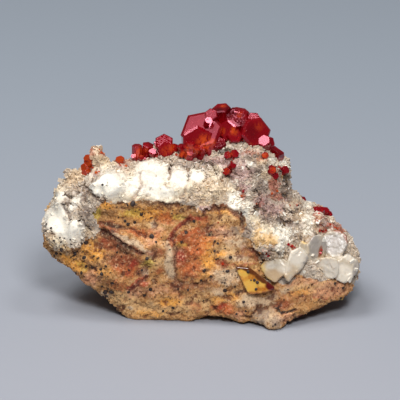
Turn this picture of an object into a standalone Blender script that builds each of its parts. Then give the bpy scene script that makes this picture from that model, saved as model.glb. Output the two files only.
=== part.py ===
"""A vanadinite specimen: blood-red six-sided crystals on baryte and iron-stained rock.

The matrix is one block. Its lower part is gritty rock stained by iron, and a crust of
white and grey baryte covers its top and its right shoulder. A crown of vanadinite
crystals stands on the crust, with smaller groups along the ridge and down the slopes.
Larger baryte blades and an amber blade stand out at the lower right.

Metres, +Z up. The show face looks towards -Y. The origin is on the resting plane, under
the middle of the specimen's bounding box.
"""

import math
import random
from collections import namedtuple

import bmesh
import bpy
from mathutils import Euler, Matrix, Vector, noise
from mathutils.bvhtree import BVHTree

MM = 0.001

# The show face is described as it is seen from the front and a little above: a place is
# given in millimetres as across (to the right), depth (away) and up the tilted view.
VIEW_TILT = math.radians(22)
VIEW_DEPTH_ZERO = -12.0
VIEW_FAR = 80.0
ASIDE = Vector((1, 0, 0))
TOWARDS = Vector((0, -math.cos(VIEW_TILT), math.sin(VIEW_TILT)))
UPWARDS = Vector((0, math.sin(VIEW_TILT), math.cos(VIEW_TILT)))

# Matrix block: how fine its skin is, how much it is worn, and how its faces are broken up
VOXEL = 0.7 * MM
WEAR = 0.5
WEAR_ROUNDS = 3
MATRIX_TRIANGLES = 3100
BOULDER_REACH = (0.93, 1.14)
BROAD_WAVE = 7.0 * MM
BROAD_DEPTH = 0.6 * MM
CHIP_WAVE = 2.4 * MM
CHIP_DEPTH = 0.6 * MM
FLOOR_SLAB = Vector((90, 70, 10)) * MM

# The lower edge of the baryte crust: its height at the front, in millimetres, how far it
# stays level, how fast it drops past both ends, and how fast it rises towards the back
CRUST_EDGE = 24.5
CRUST_LEVEL = (-19.0, 2.0)
CRUST_DROP = 0.95
CRUST_RISE = 0.1
CRUST_LOWEST = 7.0

# Small baryte tablets that grow out of the crust, in millimetres. None stand on the smooth
# boulders of the front, or where the crust turns under.
TABLET_COUNT = 36
TABLET_SIDES = (0.9, 2.3)
TABLET_THICKNESS = 0.42
TABLET_SEED = 17
TABLET_LEAST_UP = -0.2
BOULDERS_ACROSS = (-20.0, 2.0)

# A crystal keeps this gap to the matrix that holds it. A hexagon or an outline that grows
# by a gap moves its corners out a little further.
SEAT_GAP = 0.3
CORNER_GROWTH = 1.3

# Crystals: the share of the radius that the sloping rim takes, the smallest radius that has
# a rim, and the share of the radius that a small crystal reaches into the matrix
RIM_SHARE = 0.13
RIM_FROM = 1.0
ROOT_SHARE = 1.2

# Blades: the width of their bevelled edges, and how much smaller their hidden end is
BLADE_RIM = 0.28
BLADE_BACK = 0.7
FLAT_WITHIN = math.radians(2)

# A sight line that passes beside the block is rooted at its nearest point to this depth
STRAY_DEPTH = 3.0

HOST_COLOUR = (0.62, 0.42, 0.25)
VANADINITE_COLOUR = (0.42, 0.012, 0.010)
BARYTE_COLOUR = (0.80, 0.77, 0.70)
AMBER_COLOUR = (0.78, 0.42, 0.10)

Lump = namedtuple("Lump", "centre size seed")
# A crystal by the middle of its free end, the way it points, and the length behind that end
Crystal = namedtuple("Crystal", "across depth up axis radius length turn")
# A crystal by the sight line that its foot is on, and how far it stands out of the matrix
Sprout = namedtuple("Sprout", "across up axis radius stand turn")
# A flat baryte crystal by the outline that it shows, how far the middle of its front stands
# out of the matrix, its thickness, and how much its front falls back to the right and upwards
Blade = namedtuple("Blade", "outline stand thickness slope")

MATRIX_HULLS = {
    "main block": (
        (-14, -6.6, -0.8), (-3, -7.0, -0.8), (9.4, -9.4, 0.7),
        (-25, -3.6, 8.1), (-21, -4.2, 4.9), (-17.2, -5.4, 1.9), (-18, -8.0, 11), (0, -9.0, 10),
        (12, -9.8, 9), (-22, -5.0, 19), (-14, -5.4, 24.4), (0, -5.6, 24.2), (8, -6.4, 21),
        (-22, -1, 25), (-12, -1, 27), (0, 0, 28.6), (-20, 4, 28.4), (-10, 4, 29.6), (0, 5, 30.4),
        (-27, 10, 12), (-26, 12, 18), (-20, 15, 21.5), (-18, 19, 12), (-14, 14, -0.8), (-2, 21, 13),
        (-4, 17, 23), (8, 20, 12), (10, 16, 22.5), (6, 17, -0.8), (14, 18, 8),
    ),
    "left end": (
        (-31.2, 1, 17.6), (-31.4, -0.4, 13.6), (-29.6, -1, 10.8), (-27.9, -2.2, 10.0), (-26, -6.2, 15),
        (-30.8, 2, 19), (-29.8, 3, 21.2), (-28.2, 4, 24.4), (-26.4, 4, 25.8), (-23.8, 4, 27.8),
        (-25.5, -5.4, 20), (-22, -6.0, 22), (-21, -4, 26), (-26, 10, 21), (-27.5, 9, 14), (-20, 8, 26),
        (-18, -5, 16), (-25, -3.6, 8.6), (-20, 2, 12),
    ),
    "white band": (
        (-22, -6.2, 22.8), (-19, -7.0, 24.3), (-12, -7.2, 24.7), (-4, -7.2, 24.6), (1, -7.2, 23.6),
        (-22.5, -5.8, 24.2), (-12, -6.8, 26.2), (2, -6.6, 26.2), (-21, -3.4, 27.4), (-10, -4.2, 28.4),
        (2, -4.0, 28.6), (-19, 2, 28.6), (-8, 2, 30), (3, 2, 30.8), (0, 6, 28), (-20, 6, 26),
        (7, -6.4, 20.4), (7, -5.6, 24),
    ),
    "crown hill": (
        (-1, 0.6, 30.6), (4, 1.0, 32.6), (8, 1.2, 33.2), (12.4, 2.4, 32), (15.6, 4.4, 29.6),
        (17.6, 5.4, 26), (17.4, 4.4, 21.2), (14.5, -1.0, 22.0), (10, -4.6, 24), (3, -5.6, 25),
        (3, 10, 33.2), (11, 10, 32.4), (6, 15, 29), (14, 12, 28), (16, 12, 21), (-3, 10, 29.8),
        (0, 0, 16), (-4, 4, 29.8),
    ),
    "grey slope": (
        (8, -6.4, 22.4), (16, 0, 21.2), (19.6, 5, 19.8), (22, 6, 17.6), (20, -4, 15), (12, -7.6, 19),
        (10, -8.8, 15), (24, 0, 14.6), (14, 12, 20), (18, 14, 16), (10, 0, 12), (4, -7, 18),
    ),
    "right shoulder": (
        (10, -10.0, 0.4), (13.5, -10.8, 0.4), (16, -10.4, 1.0), (19, -9.4, 2.3), (23, -7.9, 2.4),
        (26.4, -6.2, 3.2), (29.6, -4, 4.4), (30.8, -1.6, 6.6), (31.0, 0, 9.2), (29.0, 2, 12.6),
        (27, 3, 15.0), (24.0, 5, 18.2), (19, 6, 19.6), (14, -7, 16), (20, -8, 10), (26, -6.4, 9),
        (28, 10, 12), (24, 15, 7), (18, 17, 15), (14, 16, -0.8), (26, 11, 5), (22, 12, 17),
    ),
    "back": (
        (-2, 18, 3), (-2, 19, 18), (25, 14, 6.6), (24, 12.6, 13.4), (20, 12.6, 16.6), (13, 13.6, 23.2),
        (4, 14.6, 28), (14, 6, 24), (0, 8, 10), (18, 14.6, -0.8), (2, 14, -0.8), (22, 6, 2),
        (16, 17.4, 10), (9, 19, 17),
    ),
    "pale rib": (
        (-19.6, -6.6, 20.4), (-18.6, -7.7, 18.8), (-12.6, -9.0, 15.8), (-7.4, -9.6, 13.4),
        (-5.6, -8.8, 11.2), (-5, -7, 16), (-9, -6.4, 19), (-15, -6.8, 12), (-10, -8.2, 10.6),
        (-12, -3, 15),
    ),
}

MATRIX_LUMPS = (
    Lump((-17.4, -3.0, 26.6), (5.1, 4.8, 3.3), 1),
    Lump((-10.8, -2.8, 26.9), (4.7, 4.7, 3.2), 2),
    Lump((-4.8, -2.6, 27.2), (4.2, 4.7, 3.2), 3),
    Lump((1.4, -2.8, 25.4), (4.2, 4.8, 4.0), 4),
    Lump((-27.2, -0.6, 16.6), (3.9, 4.8, 4.6), 5),
    Lump((-25.6, 0.8, 21.6), (4.0, 4.6, 4.2), 6),
    Lump((-20.7, 4.4, 29.4), (2.2, 2.6, 2.9), 7),
    Lump((-7.2, 5.4, 29.6), (4.0, 3.4, 2.6), 8),
    Lump((12.9, -7.8, 16.2), (3.7, 3.4, 2.9), 10),
    Lump((14.0, -10.9, 1.5), (2.8, 2.7, 2.7), 11),
    Lump((10.0, -9.2, 3.6), (2.8, 2.2, 2.6), 12),
    Lump((17.2, -9.6, 2.6), (2.2, 1.8, 1.8), 13),
    Lump((6.8, -4.4, 21.6), (3.6, 3.6, 3.4), 14),
    Lump((21.4, 3.6, 16.4), (3.4, 4.4, 3.0), 15),
    Lump((-10.0, 17.0, 10.0), (7.0, 4.6, 6.0), 16),
    Lump((6.0, 17.4, 16.0), (6.4, 4.6, 5.4), 17),
    Lump((19.0, 13.0, 12.0), (6.4, 5.0, 5.4), 18),
    Lump((-19.0, 12.6, 19.0), (5.0, 4.4, 5.0), 19),
)

MATRIX_HOLLOWS = (
    Lump((2.6, -9.2, -1.0), (7.4, 5.6, 2.7), 31),
    Lump((10.8, -12.0, -0.4), (0.8, 2.6, 1.7), 32),
    Lump((12.2, -11.4, 13.2), (2.8, 2.0, 1.0), 33),
    Lump((-14.0, -10.6, 9.6), (3.6, 2.4, 2.6), 34),
    Lump((5.6, -9.8, 12.6), (2.2, 2.0, 4.4), 35),
    Lump((2.0, 24.0, -1.0), (9.0, 6.0, 4.0), 36),
)

CROWN = (
    Crystal(-0.1, 3.4, 39.0, (-0.12, 1, 0.30), 4.25, 6.0, 45),
    Crystal(-0.8, 1.6, 36.6, (0.08, 1, -0.10), 3.3, 5.0, 0),
    Crystal(1.3, 2.7, 40.9, (0.2, 1, 0.6), 0.75, 2.4, 10),
    Crystal(1.75, 4.4, 42.1, (-0.15, 1, 0.40), 1.35, 4.0, 15),
    Crystal(3.7, 8.0, 43.5, (-0.15, 0.5, 0.85), 1.9, 6.0, 10),
    Crystal(6.8, 6.4, 41.2, (0.05, 1, 0.30), 2.6, 6.0, 15),
    Crystal(7.4, 8.6, 43.0, (0.15, 0.3, 0.95), 2.0, 6.0, 25),
    Crystal(4.8, 3.6, 38.9, (-0.40, 1, -0.05), 2.1, 5.0, 0),
    Crystal(6.5, 2.8, 38.0, (0.30, 1, 0.35), 1.6, 5.0, 20),
    Crystal(3.3, 2.2, 36.6, (0.1, 0.8, 0.55), 1.6, 4.0, 5),
    Crystal(2.4, 1.4, 35.0, (0.25, 1, -0.30), 1.7, 4.0, 15),
    Crystal(10.7, 3.8, 38.5, (0.42, 1, 0.08), 3.2, 7.0, 30),
    Crystal(10.2, 6.4, 41.4, (0.20, 1, 0.50), 1.4, 5.0, 20),
    Crystal(12.1, 3.0, 37.0, (-0.15, 0.9, 0.50), 1.4, 4.0, 10),
    Crystal(13.3, 4.4, 36.6, (0.55, 0.8, 0.1), 1.3, 4.0, 0),
    Crystal(15.4, 4.6, 33.4, (0.70, 0.40, -0.5), 1.4, 5.4, 30),
    Crystal(-2.2, 1.2, 36.6, (0.05, 0.4, 0.9), 1.1, 3.6, 30),
    Crystal(-1.0, 0.4, 35.6, (0.30, 0.75, 0.65), 0.9, 3.0, 5),
    Crystal(-3.5, 1.6, 35.2, (-0.6, 0.8, 0.35), 0.9, 3.2, 20),
    Crystal(-4.3, 2.4, 36.0, (-0.4, 0.5, 0.8), 0.7, 3.0, 0),
    Crystal(0.2, 0.4, 35.5, (0.15, 0.6, 0.8), 0.7, 3.0, 10),
    Crystal(-3.0, 0.8, 35.9, (-0.3, 0.7, 0.7), 0.75, 3.0, 0),
    Crystal(-2.3, 0.2, 34.6, (-0.1, 1, 0.2), 0.7, 2.6, 20),
    Crystal(-3.9, 1.2, 34.2, (-0.5, 1, 0.0), 0.6, 2.4, 5),
    Crystal(1.2, 9.6, 40.6, (-0.55, -0.3, 0.8), 2.4, 6.0, 12),
    Crystal(6.0, 11.6, 41.0, (0, -0.6, 0.8), 2.6, 6.0, 0),
    Crystal(10.8, 10.6, 39.6, (0.5, -0.5, 0.7), 2.2, 6.0, 20),
    Crystal(3.0, 13.2, 38.2, (-0.3, -1, 0.3), 2.2, 6.0, 8),
    Crystal(8.4, 13.6, 37.6, (0.3, -1, 0.1), 2.4, 6.0, 25),
    Crystal(13.8, 8.4, 35.8, (0.9, -0.3, 0.2), 1.6, 5.0, 0),
    Crystal(-1.4, 8.0, 37.6, (-0.9, 0, 0.5), 1.6, 4.6, 15),
)

RIDGE = (
    Crystal(-12.7, 4.4, 36.1, (0, 0.35, 1), 1.0, 4.2, 30),
    Crystal(-10.5, 4.8, 36.2, (0.2, 0.55, 0.9), 1.2, 4.0, 10),
    Crystal(-7.4, 5.0, 36.7, (0, 1, 0.5), 1.95, 4.4, 0),
    Crystal(-7.0, 3.2, 35.1, (0.1, 1, -0.05), 1.7, 4.0, 12),
    Crystal(-5.2, 4.0, 35.6, (0.5, 0.8, 0.3), 0.9, 3.2, 0),
    Crystal(-9.7, 3.2, 34.8, (-0.2, 0.8, 0.5), 0.8, 3.0, 20),
    Crystal(-13.4, 3.2, 34.0, (-0.3, 0.8, 0.5), 0.55, 2.2, 0),
    Crystal(-11.8, 2.6, 33.7, (0.2, 0.9, 0.4), 0.55, 2.2, 15),
    Crystal(-8.4, 7.6, 36.6, (-0.3, -0.5, 0.8), 1.5, 4.0, 0),
    Crystal(-11.4, 7.0, 35.2, (-0.2, -0.6, 0.7), 1.1, 3.4, 20),
)

SMALL_GROUPS = {
    "amber_crystal": (
        Sprout(-15.9, 33.6, (-0.1, 0.7, 0.7), 0.95, 1.3, 0),
    ),
    "left_edge_crystals": (
        Sprout(-22.0, 33.2, (-0.7, 0.7, 0.5), 0.75, 1.0, 0),
        Sprout(-22.0, 32.6, (-0.5, 0.9, 0.1), 0.85, 0.9, 20),
        Sprout(-22.5, 31.7, (-0.7, 0.8, 0.0), 0.85, 1.0, 10),
        Sprout(-22.6, 30.8, (-0.6, 0.9, -0.3), 0.7, 0.8, 40),
    ),
    "slope_crystals_upper": (
        Sprout(5.2, 33.9, (-0.3, 1, 0.3), 0.8, 0.9, 0),
        Sprout(6.1, 34.1, (0.4, 1, 0.4), 0.9, 0.9, 25),
    ),
    "slope_crystal_under_crown": (
        Sprout(12.2, 33.9, (0.2, 1, 0.2), 0.75, 0.9, 10),
    ),
    "slope_crystals_middle": (
        Sprout(4.9, 30.8, (-0.3, 1, 0.2), 0.8, 0.8, 0),
        Sprout(5.7, 31.8, (0.5, 0.9, 0.5), 0.7, 0.9, 15),
    ),
    "slope_crystals_right": (
        Sprout(13.5, 31.0, (0.1, 1, 0.4), 1.05, 0.9, 0),
        Sprout(14.2, 30.0, (0.3, 1, 0.1), 0.7, 0.7, 20),
    ),
    "cliff_crystal": (
        Sprout(15.9, 31.0, (0.7, 0.7, 0.4), 0.9, 0.9, 10),
    ),
    "shoulder_crystals": (
        Sprout(22.6, 23.1, (-0.2, 0.8, 0.7), 0.7, 0.8, 0),
        Sprout(23.3, 23.0, (0.0, 0.9, 0.7), 0.75, 0.9, 20),
        Sprout(24.0, 22.8, (0.3, 0.8, 0.7), 0.8, 1.0, 10),
        Sprout(24.6, 22.3, (0.5, 0.8, 0.4), 0.7, 0.9, 0),
    ),
    "back_slope_crystals": (
        Sprout(-2.0, 26.0, (0.1, -1, 0.5), 1.4, 1.2, 0),
        Sprout(-3.1, 25.4, (-0.2, -1, 0.4), 1.3, 1.1, 20),
        Sprout(-1.2, 24.9, (0.2, -1, 0.3), 1.1, 0.9, 10),
    ),
    "back_shoulder_crystals": (
        Sprout(18.0, 17.0, (0.2, -1, 0.5), 1.2, 1.3, 0),
        Sprout(19.4, 16.2, (0.6, -0.9, 0.3), 0.9, 1.0, 25),
    ),
}

BLADES = (
    Blade(((11.1, 12.2), (12.3, 13.8), (15.8, 14.2), (16.8, 13.4), (16.0, 10.6), (14.2, 9.0), (12.6, 10.0)),
          1.6, 4.0, (-0.30, 0.30)),
    Blade(((17.2, 15.4), (19.3, 16.5), (20.9, 14.6), (19.9, 12.4), (16.8, 9.2), (15.9, 10.4), (16.5, 13.4)),
          2.0, 4.6, (0.35, 0.25)),
    Blade(((18.6, 16.0), (19.4, 17.6), (21.0, 16.6), (21.2, 14.6), (19.2, 14.4)), 1.3, 4.0, (-0.30, 0.10)),
    Blade(((20.4, 16.6), (21.8, 18.7), (23.8, 18.7), (24.5, 16.2), (23.4, 12.4), (20.8, 11.7), (20.2, 14.2)),
          1.4, 4.0, (0.50, 0.10)),
    Blade(((23.0, 18.1), (24.9, 19.4), (26.9, 19.6), (28.5, 18.5), (28.6, 16.6), (26.9, 13.6), (24.9, 13.3),
           (22.8, 15.2)), 1.7, 5.2, (-0.10, 0.50)),
    Blade(((22.0, 13.8), (24.9, 14.4), (26.6, 13.9), (26.9, 11.9), (26.4, 10.0), (24.2, 9.8), (22.2, 11.3)),
          1.5, 4.6, (-0.40, -0.05)),
    Blade(((26.2, 13.4), (28.4, 15.0), (30.4, 13.8), (31.0, 12.2), (29.4, 9.8), (27.7, 8.9), (25.9, 9.8)),
          1.8, 6.0, (0.30, 0.35)),
)

AMBER_BLADE = (
    Blade(((6.2, 12.7), (9.3, 12.3), (12.0, 10.2), (14.5, 8.2), (13.8, 7.6), (11.1, 7.0), (9.0, 6.9),
           (7.4, 10.0)), 1.0, 3.2, (0.0, 0.25)),
)


def seen(across, depth, up):
    """The place, in metres, that shows at across and up in the tilted front view at that depth."""
    height = (up - (depth - VIEW_DEPTH_ZERO) * math.sin(VIEW_TILT)) / math.cos(VIEW_TILT)
    return Vector((across, depth, height)) * MM


def facing(aside, towards, upwards):
    """A direction from its shares to the right, towards the viewer and up the view."""
    return (ASIDE * aside + TOWARDS * towards + UPWARDS * upwards).normalized()


def clear_scene():
    for obj in list(bpy.data.objects):
        bpy.data.objects.remove(obj)


def material(name, colour, roughness):
    made = bpy.data.materials.new(name)
    made.use_nodes = True
    shader = made.node_tree.nodes["Principled BSDF"]
    shader.inputs["Base Color"].default_value = (*colour, 1)
    shader.inputs["Roughness"].default_value = roughness
    shader.inputs["Metallic"].default_value = 0.0
    made.diffuse_color = (*colour, 1)
    return made


def new_object(name, bm, collection=None):
    """An object whose mesh is taken from the bmesh, which is freed."""
    mesh = bpy.data.meshes.new(name)
    bm.to_mesh(mesh)
    bm.free()
    made = bpy.data.objects.new(name, mesh)
    (collection or bpy.context.scene.collection).objects.link(made)
    return made


def helper_collection(name):
    made = bpy.data.collections.new(name)
    bpy.context.scene.collection.children.link(made)
    made.hide_render = True
    return made


def as_helper(obj):
    obj.hide_render = True
    obj.display_type = "WIRE"
    return obj


def settle(obj):
    """Replaces the object's mesh by what its modifiers make of it, and removes them."""
    graph = bpy.context.evaluated_depsgraph_get()
    mesh = bpy.data.meshes.new_from_object(obj.evaluated_get(graph))
    obj.modifiers.clear()
    obj.data = mesh
    return mesh


def boolean(obj, operation, others):
    """Joins or cuts the object with an object or with every object of a collection."""
    made = obj.modifiers.new(operation.lower(), "BOOLEAN")
    made.operation = operation
    if isinstance(others, bpy.types.Collection):
        made.operand_type = "COLLECTION"
        made.collection = others
    else:
        made.object = others


def add_hull(bm, corners):
    """Adds the convex hull of some corners, given in metres, as one closed shell."""
    made = [bm.verts.new(corner) for corner in corners]
    result = bmesh.ops.convex_hull(bm, input=made, use_existing_faces=False)
    unused = set(result["geom_interior"]) | set(result["geom_unused"])
    stray = [item for item in unused if isinstance(item, bmesh.types.BMVert)]
    bmesh.ops.delete(bm, geom=stray, context="VERTS")


def add_lump(bm, lump):
    """Adds an angular boulder: a ball whose points are pushed in and out at random."""
    chance = random.Random(lump.seed)
    ball = bmesh.ops.create_icosphere(bm, subdivisions=1, radius=1)
    for vert in ball["verts"]:
        reach = chance.uniform(*BOULDER_REACH)
        vert.co = (Vector(lump.centre) + vert.co * Vector(lump.size) * reach) * MM


def roughen(mesh):
    """Moves each point along its normal by broad waves and small chips."""
    normals = [vert.normal.copy() for vert in mesh.vertices]
    for vert, normal in zip(mesh.vertices, normals):
        broad = noise.fractal(vert.co / BROAD_WAVE, 1.0, 2.0, 2)
        chip = noise.voronoi(vert.co / CHIP_WAVE)[0][0]
        vert.co += normal * (BROAD_DEPTH * broad + CHIP_DEPTH * (0.5 - chip))


def one_skin(obj):
    """Melts shells that overlap into one closed skin."""
    skin = obj.modifiers.new("one skin", "REMESH")
    skin.mode = "VOXEL"
    skin.voxel_size = VOXEL


def bare_block():
    """The rock and its crust as one skin, before anything is seated in it."""
    bm = bmesh.new()
    for corners in MATRIX_HULLS.values():
        add_hull(bm, [Vector(corner) * MM for corner in corners])
    for lump in MATRIX_LUMPS:
        add_lump(bm, lump)
    block = new_object("matrix_block", bm)
    one_skin(block)
    hollows = helper_collection("hollows")
    for count, hollow in enumerate(MATRIX_HOLLOWS):
        bm = bmesh.new()
        add_lump(bm, hollow)
        as_helper(new_object(f"hollow_{count}", bm, hollows))
    settle(block)
    boolean(block, "DIFFERENCE", hollows)
    one_skin(block)
    worn = block.modifiers.new("worn", "SMOOTH")
    worn.factor = WEAR
    worn.iterations = WEAR_ROUNDS
    roughen(settle(block))
    block.data.calc_loop_triangles()
    facets = block.modifiers.new("facets", "DECIMATE")
    facets.ratio = MATRIX_TRIANGLES / len(block.data.loop_triangles)
    settle(block)
    return block


def surface_tree(block):
    bm = bmesh.new()
    bm.from_mesh(block.data)
    tree = BVHTree.FromBMesh(bm)
    bm.free()
    return tree


def in_crust(place):
    """Whether a place belongs to the baryte crust: the block's top, left end and right shoulder."""
    across, depth, height = place / MM
    past_level = max(0.0, CRUST_LEVEL[0] - across, across - CRUST_LEVEL[1])
    edge = CRUST_EDGE - CRUST_DROP * past_level + CRUST_RISE * max(0.0, depth)
    return height > max(edge, CRUST_LOWEST)


def add_box(bm, place, turn, sides):
    box = bmesh.ops.create_cube(bm, size=1)
    move = Matrix.Translation(place) @ turn.to_matrix().to_4x4() @ Matrix.Diagonal((*sides, 1))
    bmesh.ops.transform(bm, matrix=move, verts=box["verts"])


def crust_tablets(block, tree):
    """Small flat baryte crystals that stand in the crust at many angles."""
    chance = random.Random(TABLET_SEED)
    tablets = helper_collection("crust_tablets")
    low = Vector([min(vert.co[axis] for vert in block.data.vertices) for axis in range(3)])
    high = Vector([max(vert.co[axis] for vert in block.data.vertices) for axis in range(3)])
    while len(tablets.objects) < TABLET_COUNT:
        probe = Vector([chance.uniform(low[axis], high[axis]) for axis in range(3)])
        place, normal, _, _ = tree.find_nearest(probe)
        turn = Euler([chance.uniform(0, math.tau) for _ in range(3)])
        width = chance.uniform(*TABLET_SIDES)
        sides = Vector((width, chance.uniform(*TABLET_SIDES), TABLET_THICKNESS)) * MM
        on_boulders = BOULDERS_ACROSS[0] < place.x / MM < BOULDERS_ACROSS[1] and place.y < 0
        if not in_crust(place) or normal.z < TABLET_LEAST_UP or on_boulders:
            continue
        bm = bmesh.new()
        add_box(bm, place, turn, sides)
        as_helper(new_object(f"tablet_{len(tablets.objects)}", bm, tablets))
    return tablets


def add_crystal(bm, crystal, grow=0.0):
    """Adds a six-sided prism whose two ends have narrow sloping edges."""
    axis = facing(*crystal.axis)
    tip = seen(crystal.across, crystal.depth, crystal.up)
    middle = tip - axis * crystal.length * MM / 2
    spin = Matrix.Rotation(math.radians(crystal.turn), 4, "Z")
    place = Matrix.Translation(middle) @ axis.to_track_quat("Z", "Y").to_matrix().to_4x4() @ spin
    radius = (crystal.radius + grow) * MM
    prism = bmesh.ops.create_cone(
        bm, cap_ends=True, segments=6, radius1=radius, radius2=radius,
        depth=(crystal.length + 2 * grow) * MM, matrix=place,
    )
    if grow or crystal.radius < RIM_FROM:
        return
    caps = {face for vert in prism["verts"] for face in vert.link_faces if len(face.verts) == 6}
    rims = {edge for face in caps for edge in face.edges}
    rim = RIM_SHARE * crystal.radius * MM
    bmesh.ops.bevel(bm, geom=list(rims), offset=rim, segments=1, affect="EDGES")


def sight_foot(across, up, tree):
    """Where the sight line of a place in the front view meets the block."""
    start = seen(across, VIEW_DEPTH_ZERO, up) + TOWARDS * VIEW_FAR * MM
    return tree.ray_cast(start, -TOWARDS)[0] or tree.find_nearest(seen(across, STRAY_DEPTH, up))[0]


def add_blade(bm, blade, tree, grow=0.0):
    """Adds a flat crystal: its outline in the front view, with a sloping front, drawn back."""
    centre = Vector([sum(place) / len(blade.outline) for place in zip(*blade.outline)])
    depth = sight_foot(*centre, tree).y / MM - blade.stand
    corners = []
    for place in blade.outline:
        spoke = Vector(place) - centre
        across, up = Vector(place) + spoke.normalized() * grow * CORNER_GROWTH
        front = seen(across, depth + spoke.dot(Vector(blade.slope)), up) + TOWARDS * grow * MM
        corners.append(front)
        inset = (ASIDE * spoke.x + UPWARDS * spoke.y) * (1 - BLADE_BACK)
        corners.append(front - (TOWARDS * (blade.thickness + 2 * grow) + inset) * MM)
    add_hull(bm, corners)
    bmesh.ops.dissolve_limit(bm, angle_limit=FLAT_WITHIN, verts=bm.verts, edges=bm.edges)
    if not grow:
        bmesh.ops.bevel(bm, geom=list(bm.edges), offset=BLADE_RIM * MM, segments=1, affect="EDGES")
    bmesh.ops.recalc_face_normals(bm, faces=bm.faces)


def planted(sprout, tree):
    """The crystal that a sprout becomes on the block: its foot is where the sight line meets it."""
    if sprout.axis[1] < 0:
        start = Vector((sprout.across, VIEW_FAR, sprout.up)) * MM
        foot = tree.ray_cast(start, Vector((0, -1, 0)))[0]
    else:
        foot = sight_foot(sprout.across, sprout.up, tree)
    tip = (foot + facing(*sprout.axis) * sprout.stand * MM) / MM
    up = (tip.y - VIEW_DEPTH_ZERO) * math.sin(VIEW_TILT) + tip.z * math.cos(VIEW_TILT)
    length = sprout.stand + ROOT_SHARE * sprout.radius
    return Crystal(tip.x, tip.y, up, sprout.axis, sprout.radius, length, sprout.turn)


def grown_group(name, members, add_member, finish, pockets):
    """One solid of crystals that have grown through each other, and the pocket of each."""
    first, *rest = members
    bm = bmesh.new()
    add_member(bm, first)
    group = new_object(name, bm)
    if rest:
        others = helper_collection(name + "_members")
        for count, member in enumerate(rest):
            bm = bmesh.new()
            add_member(bm, member)
            as_helper(new_object(f"{name}_member_{count}", bm, others))
        boolean(group, "UNION", others)
    for count, member in enumerate(members):
        bm = bmesh.new()
        add_member(bm, member, SEAT_GAP)
        as_helper(new_object(f"{name}_pocket_{count}", bm, pockets))
    settle(group).materials.append(finish)
    return group


def keep_largest_body(mesh):
    """Splits the faces into triangles, and removes crumbs that the pockets cut loose."""
    bm = bmesh.new()
    bm.from_mesh(mesh)
    bmesh.ops.triangulate(bm, faces=bm.faces, quad_method="BEAUTY", ngon_method="BEAUTY")
    bodies = []
    waiting = set(bm.verts)
    while waiting:
        body = {waiting.pop()}
        edge_of_body = list(body)
        while edge_of_body:
            vert = edge_of_body.pop()
            fresh = {edge.other_vert(vert) for edge in vert.link_edges} & waiting
            waiting -= fresh
            body |= fresh
            edge_of_body.extend(fresh)
        bodies.append(body)
    bodies.sort(key=len)
    crumbs = [vert for body in bodies[:-1] for vert in body]
    bmesh.ops.delete(bm, geom=crumbs, context="VERTS")
    bm.to_mesh(mesh)
    bm.free()


def rest_on_floor(block):
    """Cuts the block flat where it rests."""
    bm = bmesh.new()
    add_box(bm, Vector((0, 0, -FLOOR_SLAB.z / 2)), Euler(), FLOOR_SLAB)
    floor = as_helper(new_object("floor_slab", bm))
    boolean(block, "DIFFERENCE", floor)


def centre_on_origin(pieces):
    """Hangs every object on one empty that puts the origin under the middle of the specimen."""
    corners = [vert.co for piece in pieces for vert in piece.data.vertices]
    middle = [(min(c[axis] for c in corners) + max(c[axis] for c in corners)) / 2 for axis in (0, 1)]
    specimen = bpy.data.objects.new("specimen", None)
    objects = list(bpy.data.objects)
    bpy.context.scene.collection.objects.link(specimen)
    for obj in objects:
        if obj is not specimen:
            obj.parent = specimen
    specimen.location = (-middle[0], -middle[1], 0)


def main():
    clear_scene()
    red = material("vanadinite", VANADINITE_COLOUR, 0.12)
    white = material("baryte", BARYTE_COLOUR, 0.35)
    amber = material("amber baryte", AMBER_COLOUR, 0.25)
    block = bare_block()
    tree = surface_tree(block)
    pockets = helper_collection("pockets")

    def blade_on_block(bm, blade, grow=0.0):
        add_blade(bm, blade, tree, grow)

    groups = [
        grown_group("crown_crystals", CROWN, add_crystal, red, pockets),
        grown_group("ridge_crystals", RIDGE, add_crystal, red, pockets),
        grown_group("baryte_blades", BLADES, blade_on_block, white, pockets),
        grown_group("amber_blade", AMBER_BLADE, blade_on_block, amber, pockets),
    ]
    for name, sprouts in SMALL_GROUPS.items():
        crystals = [planted(sprout, tree) for sprout in sprouts]
        groups.append(grown_group(name, crystals, add_crystal, red, pockets))
    boolean(block, "UNION", crust_tablets(block, tree))
    boolean(block, "DIFFERENCE", pockets)
    rest_on_floor(block)
    keep_largest_body(settle(block))
    block.data.materials.clear()
    block.data.materials.append(material("iron-stained rock", HOST_COLOUR, 0.9))
    centre_on_origin([block, *groups])


main()
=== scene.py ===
import math
import random

import bmesh
import bpy
import numpy as np
from bpy.props import FloatProperty, FloatVectorProperty, PointerProperty
from mathutils import Matrix, Quaternion, Vector, noise
from mathutils.bvhtree import BVHTree


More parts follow.
